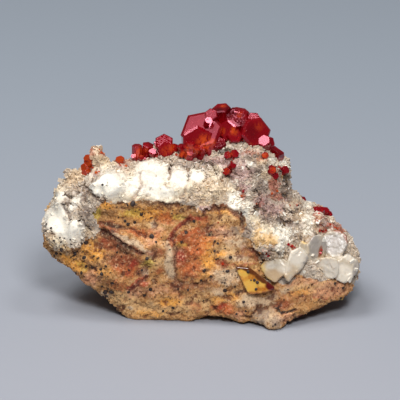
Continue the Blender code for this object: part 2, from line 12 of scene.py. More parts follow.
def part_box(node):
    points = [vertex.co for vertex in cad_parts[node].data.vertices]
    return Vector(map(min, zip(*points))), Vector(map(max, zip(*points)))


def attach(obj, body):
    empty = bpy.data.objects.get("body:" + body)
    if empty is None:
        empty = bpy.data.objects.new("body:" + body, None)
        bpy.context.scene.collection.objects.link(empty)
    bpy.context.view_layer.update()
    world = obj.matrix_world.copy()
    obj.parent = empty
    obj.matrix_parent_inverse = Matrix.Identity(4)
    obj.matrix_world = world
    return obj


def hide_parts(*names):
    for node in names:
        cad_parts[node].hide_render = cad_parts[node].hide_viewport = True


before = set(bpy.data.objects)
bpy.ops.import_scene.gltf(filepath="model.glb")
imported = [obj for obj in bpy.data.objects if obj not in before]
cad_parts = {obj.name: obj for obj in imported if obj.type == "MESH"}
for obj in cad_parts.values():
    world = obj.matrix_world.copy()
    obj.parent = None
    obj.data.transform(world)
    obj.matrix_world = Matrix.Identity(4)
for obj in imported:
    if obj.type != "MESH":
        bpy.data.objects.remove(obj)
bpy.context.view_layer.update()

bl_info = {
    "name": "Vanadinite specimen",
    "version": (1, 0, 0),
    "blender": (4, 5, 0),
    "location": "3D View > Sidebar > Specimen",
    "description": "Dresses the packed solids of a vanadinite specimen: rock, crust, crystals and blades",
    "category": "Add Mesh",
}

MM = 0.001

# How the photograph sees the specimen: columns and rows of its 400 x 400 picture, straight on and
# 22 degrees from above.
PIXEL = 0.195 * MM
VIEW_TILT = math.radians(22.0)
MIDDLE_COLUMN, FOOT_ROW = 202.0, 330.0
MIDDLE_X, FOOT_Y = 0.11 * MM, -16.32 * MM
PHOTO_SIDE = 400
LOOK = Vector((0.0, math.cos(VIEW_TILT), -math.sin(VIEW_TILT)))
UPWARDS = Vector((0.0, math.sin(VIEW_TILT), math.cos(VIEW_TILT)))
LENS, SENSOR = 800.0, 36.0
STAND_OFF = 0.2


def srgb(red, green, blue):
    """A colour given as it looks on a screen, 0 to 255, as Blender's linear one."""
    return tuple(
        (c / 255 / 12.92) if c <= 10 else ((c / 255 + 0.055) / 1.055) ** 2.4 for c in (red, green, blue)
    )


# The stains of the rock and the looks of the crust, from the lowest layer up: label, colour, how soft
# and how ragged the edge is, and how well it covers. Each has a mask on the skin's points.
LAYERS = {
    "sand": ("Sandy rock", srgb(216, 172, 116), 0.35, 1.1, 0.85),
    "pale": ("Pale rock", srgb(198, 174, 144), 0.35, 1.1, 0.8),
    "pink": ("Pink rock", srgb(214, 150, 118), 0.35, 1.1, 0.6),
    "ochre": ("Ochre", srgb(232, 160, 62), 0.35, 1.1, 0.85),
    "orange": ("Orange", srgb(182, 80, 16), 0.35, 1.1, 0.8),
    "rust": ("Rust", srgb(134, 54, 14), 0.35, 1.1, 0.85),
    # Umber is partly painted shade: its strips under the crust's lower edge and below the pale streak lie where
    # ledges shade the rock.
    "umber": ("Umber", srgb(98, 60, 32), 0.3, 0.9, 0.8),
    "red": ("Red streaks", srgb(164, 44, 18), 0.35, 1.0, 0.8),
    "lime": ("Lime stain", srgb(196, 172, 62), 0.35, 1.0, 0.7),
    "crust": ("Crust", srgb(188, 172, 154), 0.12, 0.5, 1.0),
    # The grey crust is partly painted shade, laid where the druse lies in shade.
    "grey": ("Grey crust", srgb(126, 106, 94), 0.3, 1.0, 0.85),
    "mauve": ("Mauve crust", srgb(170, 136, 130), 0.3, 0.9, 0.85),
    "beige": ("Beige crust", srgb(206, 180, 148), 0.3, 0.9, 0.85),
    "cream": ("Cream crust", srgb(220, 204, 176), 0.3, 0.7, 0.9),
    "snow": ("Snow-white crust", srgb(230, 223, 208), 0.3, 0.5, 1.0),
    "yellow": ("Yellow crust", srgb(198, 154, 88), 0.35, 1.0, 0.8),
    "blush": ("Red-brown bloom", srgb(158, 64, 34), 0.35, 1.1, 0.75),
    "fissure": ("Fissures", srgb(64, 46, 34), 0.2, 0.5, 0.9),
}

# Where the bare rock shows in the front view: corners in photograph columns and rows.
ROCK_FACE = (
    (36, 232), (46, 236), (54, 250), (66, 247), (78, 247), (86, 240), (98, 236), (100, 228), (94, 218), (93, 212),
    (99, 205), (104, 201), (112, 203), (126, 203), (134, 201), (160, 201), (176, 203), (193, 206), (203, 212),
    (212, 205), (222, 203), (231, 206), (238, 212), (246, 217), (247, 226), (243, 236), (252, 240), (253, 248),
    (262, 252), (258, 262), (262, 270), (268, 282), (290, 284), (298, 276), (312, 279), (322, 283), (334, 281),
    (344, 285), (352, 284), (372, 300), (372, 345), (36, 345),
)

# Patches of each layer in the front view: column, row, half-width, half-height, turn in degrees and
# strength.
PATCHES = {
    "sand": (
        (125, 300, 18, 10, 20, 0.9), (152, 310, 32, 8, 0, 0.9), (195, 304, 24, 9, 0, 0.8),
        (225, 218, 15, 6, -5, 0.7), (155, 225, 10, 6, 0, 0.8), (228, 254, 12, 8, 20, 0.9),
        (205, 290, 14, 6, 0, 0.6), (242, 296, 10, 7, 0, 0.8), (160, 262, 12, 8, 0, 0.6),
        (300, 288, 26, 8, -8, 0.8), (325, 284, 14, 5, 0, 0.9),
    ),
    "pale": (
        (134, 243, 9, 4, 22, 1), (154, 224, 4, 3, 0, 1), (170, 262, 5, 18, 0, 0.95), (144, 273, 5, 4, 0, 0.9),
        (226, 276, 14, 9, 0, 0.95), (236, 240, 12, 10, 0, 0.7), (228, 232, 16, 6, 0, 0.65),
        (268, 318, 17, 13, 0, 0.75), (250, 302, 12, 6, -10, 1), (265, 300, 16, 5, -15, 0.9),
        (104, 296, 5, 3, 40, 0.7), (218, 292, 8, 5, 0, 0.7), (58, 250, 8, 3, 20, 0.7), (170, 246, 8, 5, 20, 0.8),
        (240, 258, 14, 4, 0, 0.8), (130, 308, 4, 2, 0, 0.9), (286, 290, 8, 4, 0, 0.7),
    ),
    "pink": (
        (92, 277, 8, 9, 42, 1), (136, 292, 10, 6, 0, 0.7), (330, 290, 22, 8, -8, 0.9), (219, 232, 14, 8, 0, 0.75),
        (290, 282, 12, 5, -10, 0.75), (238, 314, 8, 5, 0, 0.8), (150, 240, 9, 8, 0, 0.6),
        (310, 282, 12, 4, 0, 0.8), (157, 229, 7, 4, 0, 0.7), (286, 318, 11, 8, -30, 0.6),
        (160, 290, 22, 5, 0, 0.55),
    ),
    "ochre": (
        (93, 252, 12, 9, 0, 1), (72, 262, 16, 6, 34, 0.85), (106, 205, 8, 3.5, 0, 1), (148, 214, 26, 7, 2, 0.8),
        (208, 260, 9, 10, 10, 0.95), (206, 244, 8, 8, 0, 0.8), (170, 303, 12, 5, 0, 0.85),
        (150, 314, 18, 4, 0, 0.6), (205, 276, 8, 5, 0, 0.5), (222, 254, 5, 3, 0, 0.9), (48, 238, 4, 9, -10, 0.7),
        (104, 272, 12, 5, 0, 0.5), (218, 300, 10, 5, 0, 0.6), (233, 296, 5, 4, 0, 0.8),
        (225, 212, 12, 4, -5, 0.6), (300, 293, 14, 4, -8, 0.6),
    ),
    "orange": (
        (193, 248, 15, 16, 10, 0.85), (190, 268, 13, 10, 0, 0.9), (127, 268, 16, 10, 10, 0.8),
        (138, 232, 12, 4, 8, 0.8), (165, 218, 12, 6, 0, 0.7), (200, 238, 15, 8, 0, 0.7),
        (152, 234, 12, 6, 0, 0.55), (222, 308, 12, 5, 8, 1), (196, 308, 8, 6, 0, 0.6),
        (118, 285, 14, 6, 20, 0.55), (290, 296, 16, 5, -12, 0.4), (103, 243, 6, 6, 0, 0.7),
        (204, 222, 6, 8, 0, 0.6), (178, 296, 12, 4, 0, 0.4), (160, 270, 6, 4, -20, 0.7), (255, 249, 4, 4, 0, 0.5),
    ),
    "rust": (
        (112, 244, 12, 9, 10, 0.95), (124, 260, 18, 8, 8, 0.9), (181, 256, 8, 10, 0, 1),
        (110, 227, 15, 6, 6, 0.9), (222, 206, 12, 3.5, 0, 0.9), (238, 214, 8, 4, 45, 0.95),
        (156, 252, 12, 6, 0, 0.7), (188, 276, 12, 5, 0, 0.6), (205, 232, 9, 5, 0, 0.8), (186, 286, 30, 5, 4, 0.6),
        (300, 300, 28, 5, -12, 0.45), (222, 264, 7, 4, 20, 0.95), (243, 250, 4, 7, 0, 0.7),
        (282, 305, 12, 6, -20, 0.8), (250, 253, 9, 6, 0, 0.6), (258, 256, 6, 5, 0, 0.6),
        (146, 296, 12, 5, 0, 0.4), (274, 292, 10, 4, 20, 0.6), (185, 238, 14, 6, -10, 0.5),
        (210, 284, 12, 5, 0, 0.5),
    ),
    # Partly painted shade: the strips along the crust's lower edge and below the pale streak darken the rock where
    # ledges shade it; the rest are umber stains.
    "umber": (
        (114, 226, 11, 3, 8, 0.95), (165, 203, 26, 2.6, 2, 0.9), (193, 208, 5, 3, 0, 0.95),
        (104, 236, 8, 3, 25, 0.8), (124, 248, 15, 4, 28, 0.7), (180, 252, 4, 6, 0, 0.7), (243, 221, 3, 6, 0, 1),
        (192, 220, 4, 3, 0, 0.8), (209, 235, 4, 2.5, 0, 0.9), (267, 254, 4, 4, 0, 1), (206, 270, 4, 3, 0, 0.7),
        (296, 275, 4, 2, -45, 0.9), (70, 256, 10, 3, 35, 0.4), (200, 288, 16, 3, 10, 0.5),
        (154, 250, 5, 4, 0, 0.6), (272, 304, 5, 3, 0, 0.8), (306, 276, 3, 3, 0, 0.8), (238, 292, 5, 3, 30, 0.7),
        (258, 306, 5, 2, -30, 0.6), (92, 236, 5, 2, 0, 0.6), (344, 290, 3, 3, 0, 0.7), (198, 306, 3, 5, 0, 0.5),
        (315, 286, 4, 2, 0, 0.5),
    ),
    "red": (
        (134, 264, 6, 5, 0, 0.7), (179, 256, 4, 8, 0, 0.7), (143, 283, 6, 3, -20, 0.8),
        (204, 218, 5, 2, -20, 0.6), (222, 307, 5, 2.5, 0, 0.8), (104, 240, 5, 3, 0, 0.4),
        (128, 273, 3, 3, 0, 0.6), (320, 298, 10, 2, 0, 0.5),
    ),
    "lime": (
        (96, 214, 5, 5, -30, 1), (132, 213, 12, 5, 0, 0.65), (178, 217, 7, 3, 0, 0.6),
        (149, 262, 8, 5, -25, 0.75), (80, 266, 9, 3, 35, 0.55), (182, 245, 7, 3, 0, 0.6), (66, 246, 5, 3, 0, 0.5),
    ),
    # Partly painted shade: grey laid where the druse lies in shade, and partly the crust's own grey.
    "grey": (
        (66, 208, 5, 8, -20, 0.95), (82, 196, 7, 8, 40, 0.8), (86, 212, 7, 7, 40, 0.75),
        (88, 226, 9, 7, 30, 0.65), (206, 163, 12, 4, 0, 1), (229, 177, 8, 4, 0, 0.95),
        (190, 192, 14, 8, -20, 0.6), (255, 172, 7, 6, 0, 0.85), (252, 158, 12, 6, 0, 0.85),
        (260, 186, 8, 10, 20, 0.8), (285, 184, 6, 14, 0, 0.95), (268, 218, 12, 7, 0, 0.9),
        (288, 222, 14, 5, 0, 0.9), (303, 206, 6, 4, 0, 0.6), (145, 158, 9, 3, 0, 0.9), (162, 158, 8, 3, 0, 0.7),
        (186, 166, 14, 2.5, 0, 0.8), (234, 232, 8, 5, 0, 0.7), (246, 232, 6, 6, 0, 0.75),
        (296, 212, 8, 4, 0, 0.7), (296, 236, 8, 5, 20, 0.7), (128, 178, 7, 8, 0, 0.45), (315, 238, 8, 10, 0, 0.6),
        (136, 196, 4, 5, 40, 0.6), (262, 316, 8, 12, 10, 0.75), (276, 322, 5, 9, 0, 0.65),
    ),
    "mauve": (
        (226, 162, 16, 6, 0, 0.9), (242, 172, 12, 10, 0, 0.8), (243, 188, 7, 6, 0, 0.95),
        (262, 200, 8, 8, 0, 0.85), (196, 158, 16, 5, 0, 0.95), (124, 170, 9, 6, 0, 0.75),
        (272, 210, 14, 6, 0, 0.85), (236, 154, 8, 4, 0, 0.85), (284, 200, 9, 6, 0, 0.6), (322, 222, 8, 8, 0, 0.6),
        (206, 208, 7, 4, 0, 0.9), (335, 240, 12, 8, 0, 0.5), (256, 228, 5, 4, 0, 0.5),
    ),
    "beige": (
        (76, 176, 16, 6, -42, 0.9), (58, 192, 8, 6, -45, 0.6), (96, 155, 9, 9, 0, 0.85),
        (110, 162, 12, 5, 10, 0.7), (88, 232, 10, 6, 20, 0.7), (52, 238, 7, 9, 0, 0.8), (262, 160, 7, 6, 0, 0.8),
        (268, 174, 6, 6, 0, 0.8), (208, 204, 12, 4, 0, 0.7), (318, 224, 4, 12, 0, 0.7), (298, 218, 12, 6, 0, 0.6),
        (192, 196, 12, 6, 0, 0.6), (214, 190, 20, 12, 0, 0.8), (135, 197, 8, 4, 20, 0.7),
        (305, 240, 10, 8, 0, 0.5), (160, 198, 30, 2.5, 0, 0.8), (290, 204, 12, 5, 0, 0.5),
        (240, 244, 8, 6, 0, 0.6), (278, 256, 10, 5, 0, 0.6), (64, 250, 10, 4, 20, 0.7),
    ),
    "cream": (
        (120, 197, 18, 6, 6, 0.9), (167, 188, 32, 13, -8, 0.85), (128, 174, 16, 9, 0, 0.6),
        (210, 190, 18, 12, 0, 0.45), (216, 176, 10, 10, 0, 0.5), (268, 234, 18, 9, 20, 0.9),
        (100, 164, 14, 6, 10, 0.75), (60, 192, 10, 8, -45, 0.6), (236, 208, 10, 7, 40, 0.6),
        (254, 218, 6, 4, 40, 0.8), (70, 232, 16, 10, 0, 0.6), (60, 243, 10, 5, 20, 0.8), (232, 190, 8, 8, 0, 0.6),
    ),
    "snow": (
        (110, 184, 19, 14, 5, 1), (96, 193, 8, 5, 30, 0.8), (152, 173, 19, 12, 0, 0.95),
        (133, 186, 12, 11, 0, 0.75), (180, 178, 12, 11, 0, 0.85), (160, 192, 20, 8, 0, 0.7),
        (70, 230, 16, 12, 0, 0.8), (56, 218, 12, 15, 0, 1), (75, 204, 4, 9, 35, 0.95), (236, 201, 8, 9, -40, 1),
        (196, 176, 9, 7, 0, 0.8), (284, 165, 7, 2.2, 10, 1), (310, 220, 8, 10, 0, 0.6),
        (282, 234, 10, 9, 20, 0.95), (250, 165, 5, 3, 0, 0.7), (280, 246, 5, 6, 0, 0.8),
        (246, 213, 5, 4, 30, 0.9), (332, 228, 4, 2.5, 0, 1), (246, 204, 8, 5, 30, 0.8), (150, 190, 14, 7, 0, 0.8),
        (308, 206, 6, 4, 0, 0.6), (282, 162, 4, 3, 0, 0.8), (60, 198, 8, 6, -30, 0.7), (306, 232, 5, 5, 0, 0.7),
        (318, 214, 5, 3, 0, 0.6), (273, 160, 4, 5, 30, 0.7),
    ),
    "yellow": (
        (268, 240, 11, 6, 5, 1), (258, 232, 5, 8, 0, 0.7), (258, 242, 5, 6, 0, 0.7), (52, 246, 6, 5, 30, 0.5),
        (255, 266, 6, 4, 0, 0.8), (64, 245, 4, 3, 0, 0.6),
    ),
    "blush": (
        (274, 184, 4.5, 14, 3, 1), (276, 196, 9, 4, 0, 0.85), (243, 196, 4, 4, 0, 0.9), (318, 209, 7, 3, 0, 0.7),
        (336, 228, 10, 2.2, 18, 1), (291, 246, 4, 2, 20, 1), (267, 254, 3, 3, 0, 0.8),
        (128, 157, 9, 3.5, 10, 0.95), (97, 173, 4, 2, 0, 0.75), (88, 164, 5, 11, 12, 0.85),
        (227, 172, 5, 5, 0, 0.8), (260, 203, 3, 6, 20, 0.85), (323, 230, 5, 2, 20, 0.9),
        (321, 251, 1.6, 5, 10, 1), (152, 157, 9, 3, 0, 0.7), (262, 158, 5, 3, 0, 0.9), (124, 163, 5, 4, 0, 0.8),
        (92, 152, 4, 4, 0, 0.7), (102, 153, 3, 4, -30, 0.8), (183, 157, 6, 3, 0, 0.9), (322, 218, 5, 3, 0, 0.5),
        (252, 152, 10, 4, 0, 0.6), (297, 206, 3, 2, 0, 0.6),
    ),
    "fissure": (
        (220, 151, 16, 3.2, 4, 1), (284, 170, 5, 2.5, 0, 1), (287, 178, 3, 5, 0, 0.7), (133, 203.5, 3, 2, 0, 1),
        (69, 196, 3, 2, 40, 0.9), (258, 209, 4, 3, 20, 0.8), (238, 157, 5, 2, 20, 0.7),
        (276, 146, 3, 6, -20, 0.8), (281, 222, 5, 2, 0, 0.6), (79, 220, 2.5, 2, 0, 1), (266, 165, 2.5, 3, 0, 0.6),
        (285, 196, 3, 4, 0, 0.7),
    ),
}

# Dark cracks and stain lines of the front view: their points, then half their width, in pixels.
STROKES = {
    "fissure": (
        ((170, 158), (171, 164), (169, 171), 1), ((188, 168), (190, 173), (188, 178), 0.7),
        ((210, 163), (213, 168), (216, 174), 0.9), ((247, 167), (250, 172), (253, 178), 1),
        ((277, 172), (283, 177), (286, 183), (287, 190), 1.1), ((63, 196), (68, 194), (73, 198), 0.8),
        ((84, 176), (83, 182), (87, 188), 0.9), ((80, 216), (87, 224), (92, 230), 0.9),
        ((79, 186), (84, 184), (87, 188), 0.6), ((62, 206), (68, 203), (73, 206), 0.9),
        ((193, 168), (200, 164), (210, 163), 0.7), ((276, 214), (280, 219), (290, 220), 0.8),
        ((275, 309), (282, 312), (296, 309), 0.9), ((281, 210), (290, 212), (299, 210), 0.7),
        ((120, 186), (126, 183), 0.5), ((104, 210), (112, 206), 0.6), ((88, 188), (92, 195), (100, 200), 0.6),
        ((293, 278), (297, 274), (299, 271), 1.1), ((255, 188), (260, 194), (262, 200), 0.8),
        ((300, 236), (306, 244), (303, 252), 0.6), ((313, 228), (316, 234), (319, 238), 0.9),
        ((272, 250), (277, 254), (282, 253), 1), ((286, 252), (289, 248), 0.7), ((262, 209), (267, 212), 0.7),
    ),
    "red": (
        ((169, 239), (174, 231), (182, 223), (190, 218), (200, 217), 2.4), ((176, 228), (186, 221), 2.6),
        ((128, 290), (136, 284), (147, 276), 2.6), ((288, 245), (294, 247), 1.2),
    ),
    "orange": (
        ((172, 244), (182, 238), (196, 230), 4),
    ),
    "rust": (
        ((100, 232), (112, 238), (124, 246), (140, 252), 3.5), ((205, 212), (214, 205), (228, 205), 2),
    ),
    "pale": (
        ((112, 233), (124, 239), (140, 246), (152, 256), 3.2), ((170, 246), (172, 262), (173, 278), 3),
    ),
    "cream": (
        ((118, 200), (140, 198), (160, 199), (180, 201), 1.4),
    ),
    "blush": (
        ((223, 264), (236, 265), (256, 263), 1.1), ((313, 212), (318, 222), (326, 229), 1.2),
    ),
}

# Grooves that part the boulders and the lumps of the front view: their points, half their width in
# pixels and their depth in millimetres.
GROOVES = (
    ((86, 189), (93, 196), (103, 203), 1.8, 0.45), ((139, 171), (141, 182), (139, 192), (132, 202), 1.6, 0.4),
    ((170, 158), (171, 168), (169, 178), 1.2, 0.5), ((116, 170), (122, 178), (132, 186), (139, 189), 1.4, 0.2),
    ((104, 173), (95, 178), (87, 187), 1.6, 0.3), ((189, 168), (190, 178), (186, 190), (180, 200), 1.4, 0.3),
    ((100, 230), (112, 236), (126, 247), (142, 254), 1.8, 0.5), ((175, 246), (175.5, 262), (176, 281), 1.3, 0.45),
    ((204, 214), (214, 208), (230, 209), (241, 216), (244, 228), 2.2, 0.5),
    ((275, 309), (284, 313), (297, 310), 1.3, 0.7), ((128, 291), (138, 285), (149, 276), 1.6, 0.4),
    ((169, 240), (178, 228), (190, 219), 1.8, 0.35), ((204, 231), (214, 236), (226, 236), 1.4, 0.3),
    ((266, 306), (256, 312), (250, 318), 1.6, 0.5), ((277, 172), (284, 178), (287, 190), 1.3, 0.6),
    ((62, 206), (67, 214), (70, 220), 1.8, 0.4), ((84, 176), (84, 184), (88, 190), 1.4, 0.4),
    ((256, 190), (261, 200), (254, 212), 1.8, 0.5), ((276, 214), (281, 220), (291, 222), 1.6, 0.4),
    ((221, 180), (226, 178), (234, 172), 1.6, 0.5), ((120, 226), (132, 229), (148, 238), 1.6, 0.35),
    ((176, 281), (190, 284), (206, 283), 1.6, 0.3), ((100, 222), (112, 227), (122, 226), 1.6, 0.4),
    ((250, 249), (262, 256), (272, 252), (284, 254), 1.8, 0.6),
)

# The smooth, glassy lump of the foot, as the patches above, and the column up to which the white
# crust is smooth.
FOOT_BLOCK = (268, 317, 17, 13, 0, 1)
SMOOTH_TO = 232

# Where black specks lie thick in the front view, as the patches above.
SPECK_PATCHES = (
    (56, 243, 12, 10, 30, 1), (78, 252, 18, 7, 25, 1), (98, 270, 16, 8, 40, 1), (112, 288, 12, 8, 30, 0.9),
    (140, 216, 26, 10, 0, 0.35), (216, 246, 10, 12, 0, 0.5), (228, 278, 14, 14, 0, 0.5),
    (128, 250, 30, 12, 0, 0.25), (250, 303, 10, 8, 0, 0.5), (150, 292, 30, 10, 0, 0.3), (344, 286, 8, 6, 0, 0.3),
    (280, 262, 8, 3, 0, 0.4),
)

# The larger black specks: column, row and half their width in pixels.
SPECKS = (
    (133, 203.5, 2.4), (128, 205, 1), (141.6, 214, 1.9), (125, 221, 1.5), (128, 224, 1.8), (135, 222, 1.6),
    (152, 236.5, 2.5), (186, 232.5, 1.7), (156, 242, 1.2), (147, 258.5, 1.7), (117, 252, 1.1), (86, 242, 2.1),
    (82, 243.5, 1.4), (71.5, 243.5, 1.3), (79, 220, 1.7), (46.5, 224.5, 1.2), (51, 228, 1.2), (60, 238, 1.2),
    (61, 242, 1), (54, 240.5, 1.2), (61.5, 250, 1.6), (56, 253.5, 1.5), (60.5, 254, 1.3), (75, 253.5, 1.5),
    (84, 257.5, 1.7), (92.5, 267, 1.8), (86, 266, 1.5), (106, 266, 1.3), (101, 269, 1.4), (101.5, 274, 1.8),
    (81.5, 273, 1.5), (112.5, 282.5, 1.8), (102, 286, 1.2), (105.5, 292, 2.4), (111.5, 291.5, 2.4),
    (106, 296, 1.5), (128.5, 292, 1.5), (144.5, 295, 1.7), (150.5, 289, 1.8), (142, 270, 1.2), (129, 270, 1),
    (194, 221, 1.6), (209.5, 235, 1.4), (214.7, 241, 1.2), (218, 243.5, 1.3), (214.7, 251, 1.3), (216, 259, 1),
    (230.5, 257, 1.6), (227.5, 271, 1.7), (211, 276, 1.2), (225, 290, 1.9), (235.5, 286.5, 1.2),
    (204, 270.5, 1.7), (201, 280, 1.2), (181, 242, 1.5), (103, 185, 1.3), (130, 174.5, 1), (212, 172, 0.8),
    (277.5, 261, 1.2), (282, 262, 1.4), (300.5, 263, 0.9), (244, 302, 1.6), (246, 311, 1), (236.5, 314, 1.1),
    (275, 324, 1.1), (273, 326, 0.8), (341, 298, 1.5), (343, 288, 1.4), (335, 283.5, 1.2), (259.5, 245, 1),
    (118, 245, 0.9), (173, 307.5, 1.5), (163, 311, 1.3), (188, 290, 1.2), (70, 276, 1), (94, 256, 0.9),
    (99, 258, 1), (178, 289, 1), (54, 256, 1), (114, 167, 1.2), (89, 220, 1), (67, 196, 1.4), (82, 184, 1.2),
    (298.5, 205.5, 1), (294, 214, 1.1), (289, 229, 1.2), (352, 272, 1), (358, 268, 1), (210, 163, 1),
    (151, 218, 1), (222, 220, 0.8),
)
AMBER_SPECKS = (
    (254.3, 280, 1.3), (257.3, 282.2, 1.7), (256, 289, 1.5), (248, 271.5, 1.6), (251, 280, 0.9),
)

# Tiny red crystals: column, row, half-width in pixels, and 0 for crimson to 1 for orange.
SEEDS = (
    (128, 153, 1.4, 0.2), (130, 157, 1.6, 0.6), (133, 159.5, 1.5, 0.4), (137, 160.5, 1.8, 0.3),
    (142, 159, 1.5, 0.5), (126, 160, 1.5, 0.7), (123, 163, 1.6, 0.8), (125.5, 166.5, 1.4, 0.9),
    (120, 166, 1.2, 0.5), (146, 156, 1.5, 0.2), (150, 156.5, 1.2, 0.3), (180, 156.5, 1.8, 0.8),
    (184, 158, 1.8, 0.7), (176, 155, 1.4, 0.3), (96.5, 173, 1.6, 0.9), (99, 172, 1.2, 0.8), (86, 152.5, 1.6, 0.7),
    (91, 150, 1.4, 0.9), (99, 150.5, 1.3, 0.8), (102, 153, 1.4, 0.6), (85, 172, 1.3, 0.6),
    (92.5, 167.5, 1.3, 0.4), (243, 190.5, 1.6, 0.1), (241, 196, 1.2, 0.8), (244.5, 197, 1.3, 0.9),
    (232, 163, 1.6, 0.3), (234, 160, 1.3, 0.3), (261, 155, 1.6, 0.4), (266, 157, 1.6, 0.3), (274, 171, 2, 0.5),
    (279, 168.5, 2.2, 0.1), (272, 175, 1.6, 0.7), (275, 180, 1.6, 0.8), (277, 191, 1.3, 0.8),
    (272, 193, 1.4, 0.7), (313.5, 208.5, 1.4, 0.3), (318, 210.5, 1.3, 0.2), (322, 211.5, 1.2, 0.4),
    (327.5, 208, 1.4, 0.2), (319, 214, 1.3, 0.5), (323, 216, 1, 0.4), (330, 225, 1.5, 0.4),
    (333, 226.5, 1.4, 0.3), (335.5, 228.5, 1.5, 0.5), (338.5, 229.5, 1.4, 0.6), (341.5, 230.5, 1.3, 0.8),
    (344, 232, 1.2, 0.9), (320, 230.5, 1.4, 0.2), (323, 231.5, 1.4, 0.1), (326, 230.5, 1.2, 0.2),
    (288, 244.5, 1.4, 0), (291.5, 246.5, 1.5, 0.1), (294.5, 247, 1.1, 0.1), (321.5, 250, 1.1, 0.1),
    (320.5, 253, 1.1, 0.2), (266, 253, 1.6, 0.1), (268.5, 255.5, 1.4, 0.1), (297, 205.5, 1, 0.3),
    (290, 206, 1.1, 0.2), (256, 203, 1.2, 0.6), (222.5, 263.5, 1.6, 0.3), (218, 222.5, 0.9, 0.3),
    (203, 152.5, 1.4, 0.5), (200, 153.5, 1.2, 0.7), (157, 156, 1.4, 0.2), (165, 156.5, 1.5, 0.2),
    (171, 154, 1.3, 0.1),
)

# Small white tablets that stand out of the crust and the blades: column, row and half their width in
# pixels.
FLAKES = (
    (284, 163.5, 3), (279, 161, 2.2), (288.5, 167, 2.2), (272.5, 160.5, 3.2), (332, 228, 2.4), (336, 229.5, 1.8),
    (75, 204, 3), (70, 210, 2.5), (80, 196, 2.5), (246, 200, 2.8), (238, 196, 2.5), (230, 203, 2.4),
    (256, 214, 2.6), (282, 236, 2.8), (290, 240, 2.4), (276, 228, 2.6), (296, 232, 2.4), (284, 214, 2.4),
    (300, 214, 2.4), (306, 222, 2.6), (312, 230, 2.2), (312, 255, 2.4), (318, 262, 2.4), (310, 268, 2.4),
    (304, 272, 2), (352, 262, 2.6), (356, 270, 2.2), (350, 280, 2.4), (251, 166, 2.2), (258, 176, 2),
    (243, 168, 2), (265, 182, 2.2), (236, 181, 2.2), (228, 186, 2), (216, 184, 2), (58, 204, 2.4), (66, 218, 2.6),
    (52, 214, 2.2), (86, 178, 2.2), (93, 186, 2.4), (119, 172, 2.2), (128, 168, 2), (196, 164, 2), (186, 162, 2),
    (204, 170, 2.2), (262, 232, 2.4), (270, 246, 2.2), (280, 248, 2.2), (300, 246, 2), (324, 240, 2),
    (296, 222, 2.4), (318, 222, 2.4), (288, 206, 2),
)

# The pieces of the crystal nodes, and those that are brown-orange.
CRYSTAL_PIECES = {
    "crown_crystals": "vanadinite_crown",
    "ridge_crystals": "vanadinite_ridge",
    "amber_crystal": "amber_prism",
    "left_edge_crystals": "left_edge_prisms",
    "slope_crystals_upper": "upper_slope_prisms",
    "slope_crystal_under_crown": "under_crown_prism",
    "slope_crystals_middle": "middle_slope_prisms",
    "slope_crystals_right": "right_slope_prisms",
    "cliff_crystal": "cliff_prism",
    "shoulder_crystals": "shoulder_prisms",
    "back_slope_crystals": "back_slope_prisms",
    "back_shoulder_crystals": "back_shoulder_prisms",
}
HONEYED = ("amber_prism", "left_edge_prisms")


class Value:
    """A shader or geometry socket that can be used in plain Python sums."""

    def __init__(self, nodes, socket):
        self.nodes, self.socket = nodes, socket

    def __add__(self, other): return self.nodes.maths("ADD", self, other)
    def __radd__(self, other): return self.nodes.maths("ADD", other, self)
    def __sub__(self, other): return self.nodes.maths("SUBTRACT", self, other)
    def __rsub__(self, other): return self.nodes.maths("SUBTRACT", other, self)
    def __mul__(self, other): return self.nodes.maths("MULTIPLY", self, other)
    def __rmul__(self, other): return self.nodes.maths("MULTIPLY", other, self)
    def __gt__(self, other): return self.nodes.maths("GREATER_THAN", self, other)
    def __lt__(self, other): return self.nodes.maths("LESS_THAN", self, other)

    def smooth(self, low, high):
        """0 below low, 1 above high, and a smooth rise between them."""
        return self.nodes.add(
            "ShaderNodeMapRange", {"interpolation_type": "SMOOTHSTEP"},
            {"Value": self, "From Min": low, "From Max": high},
        )


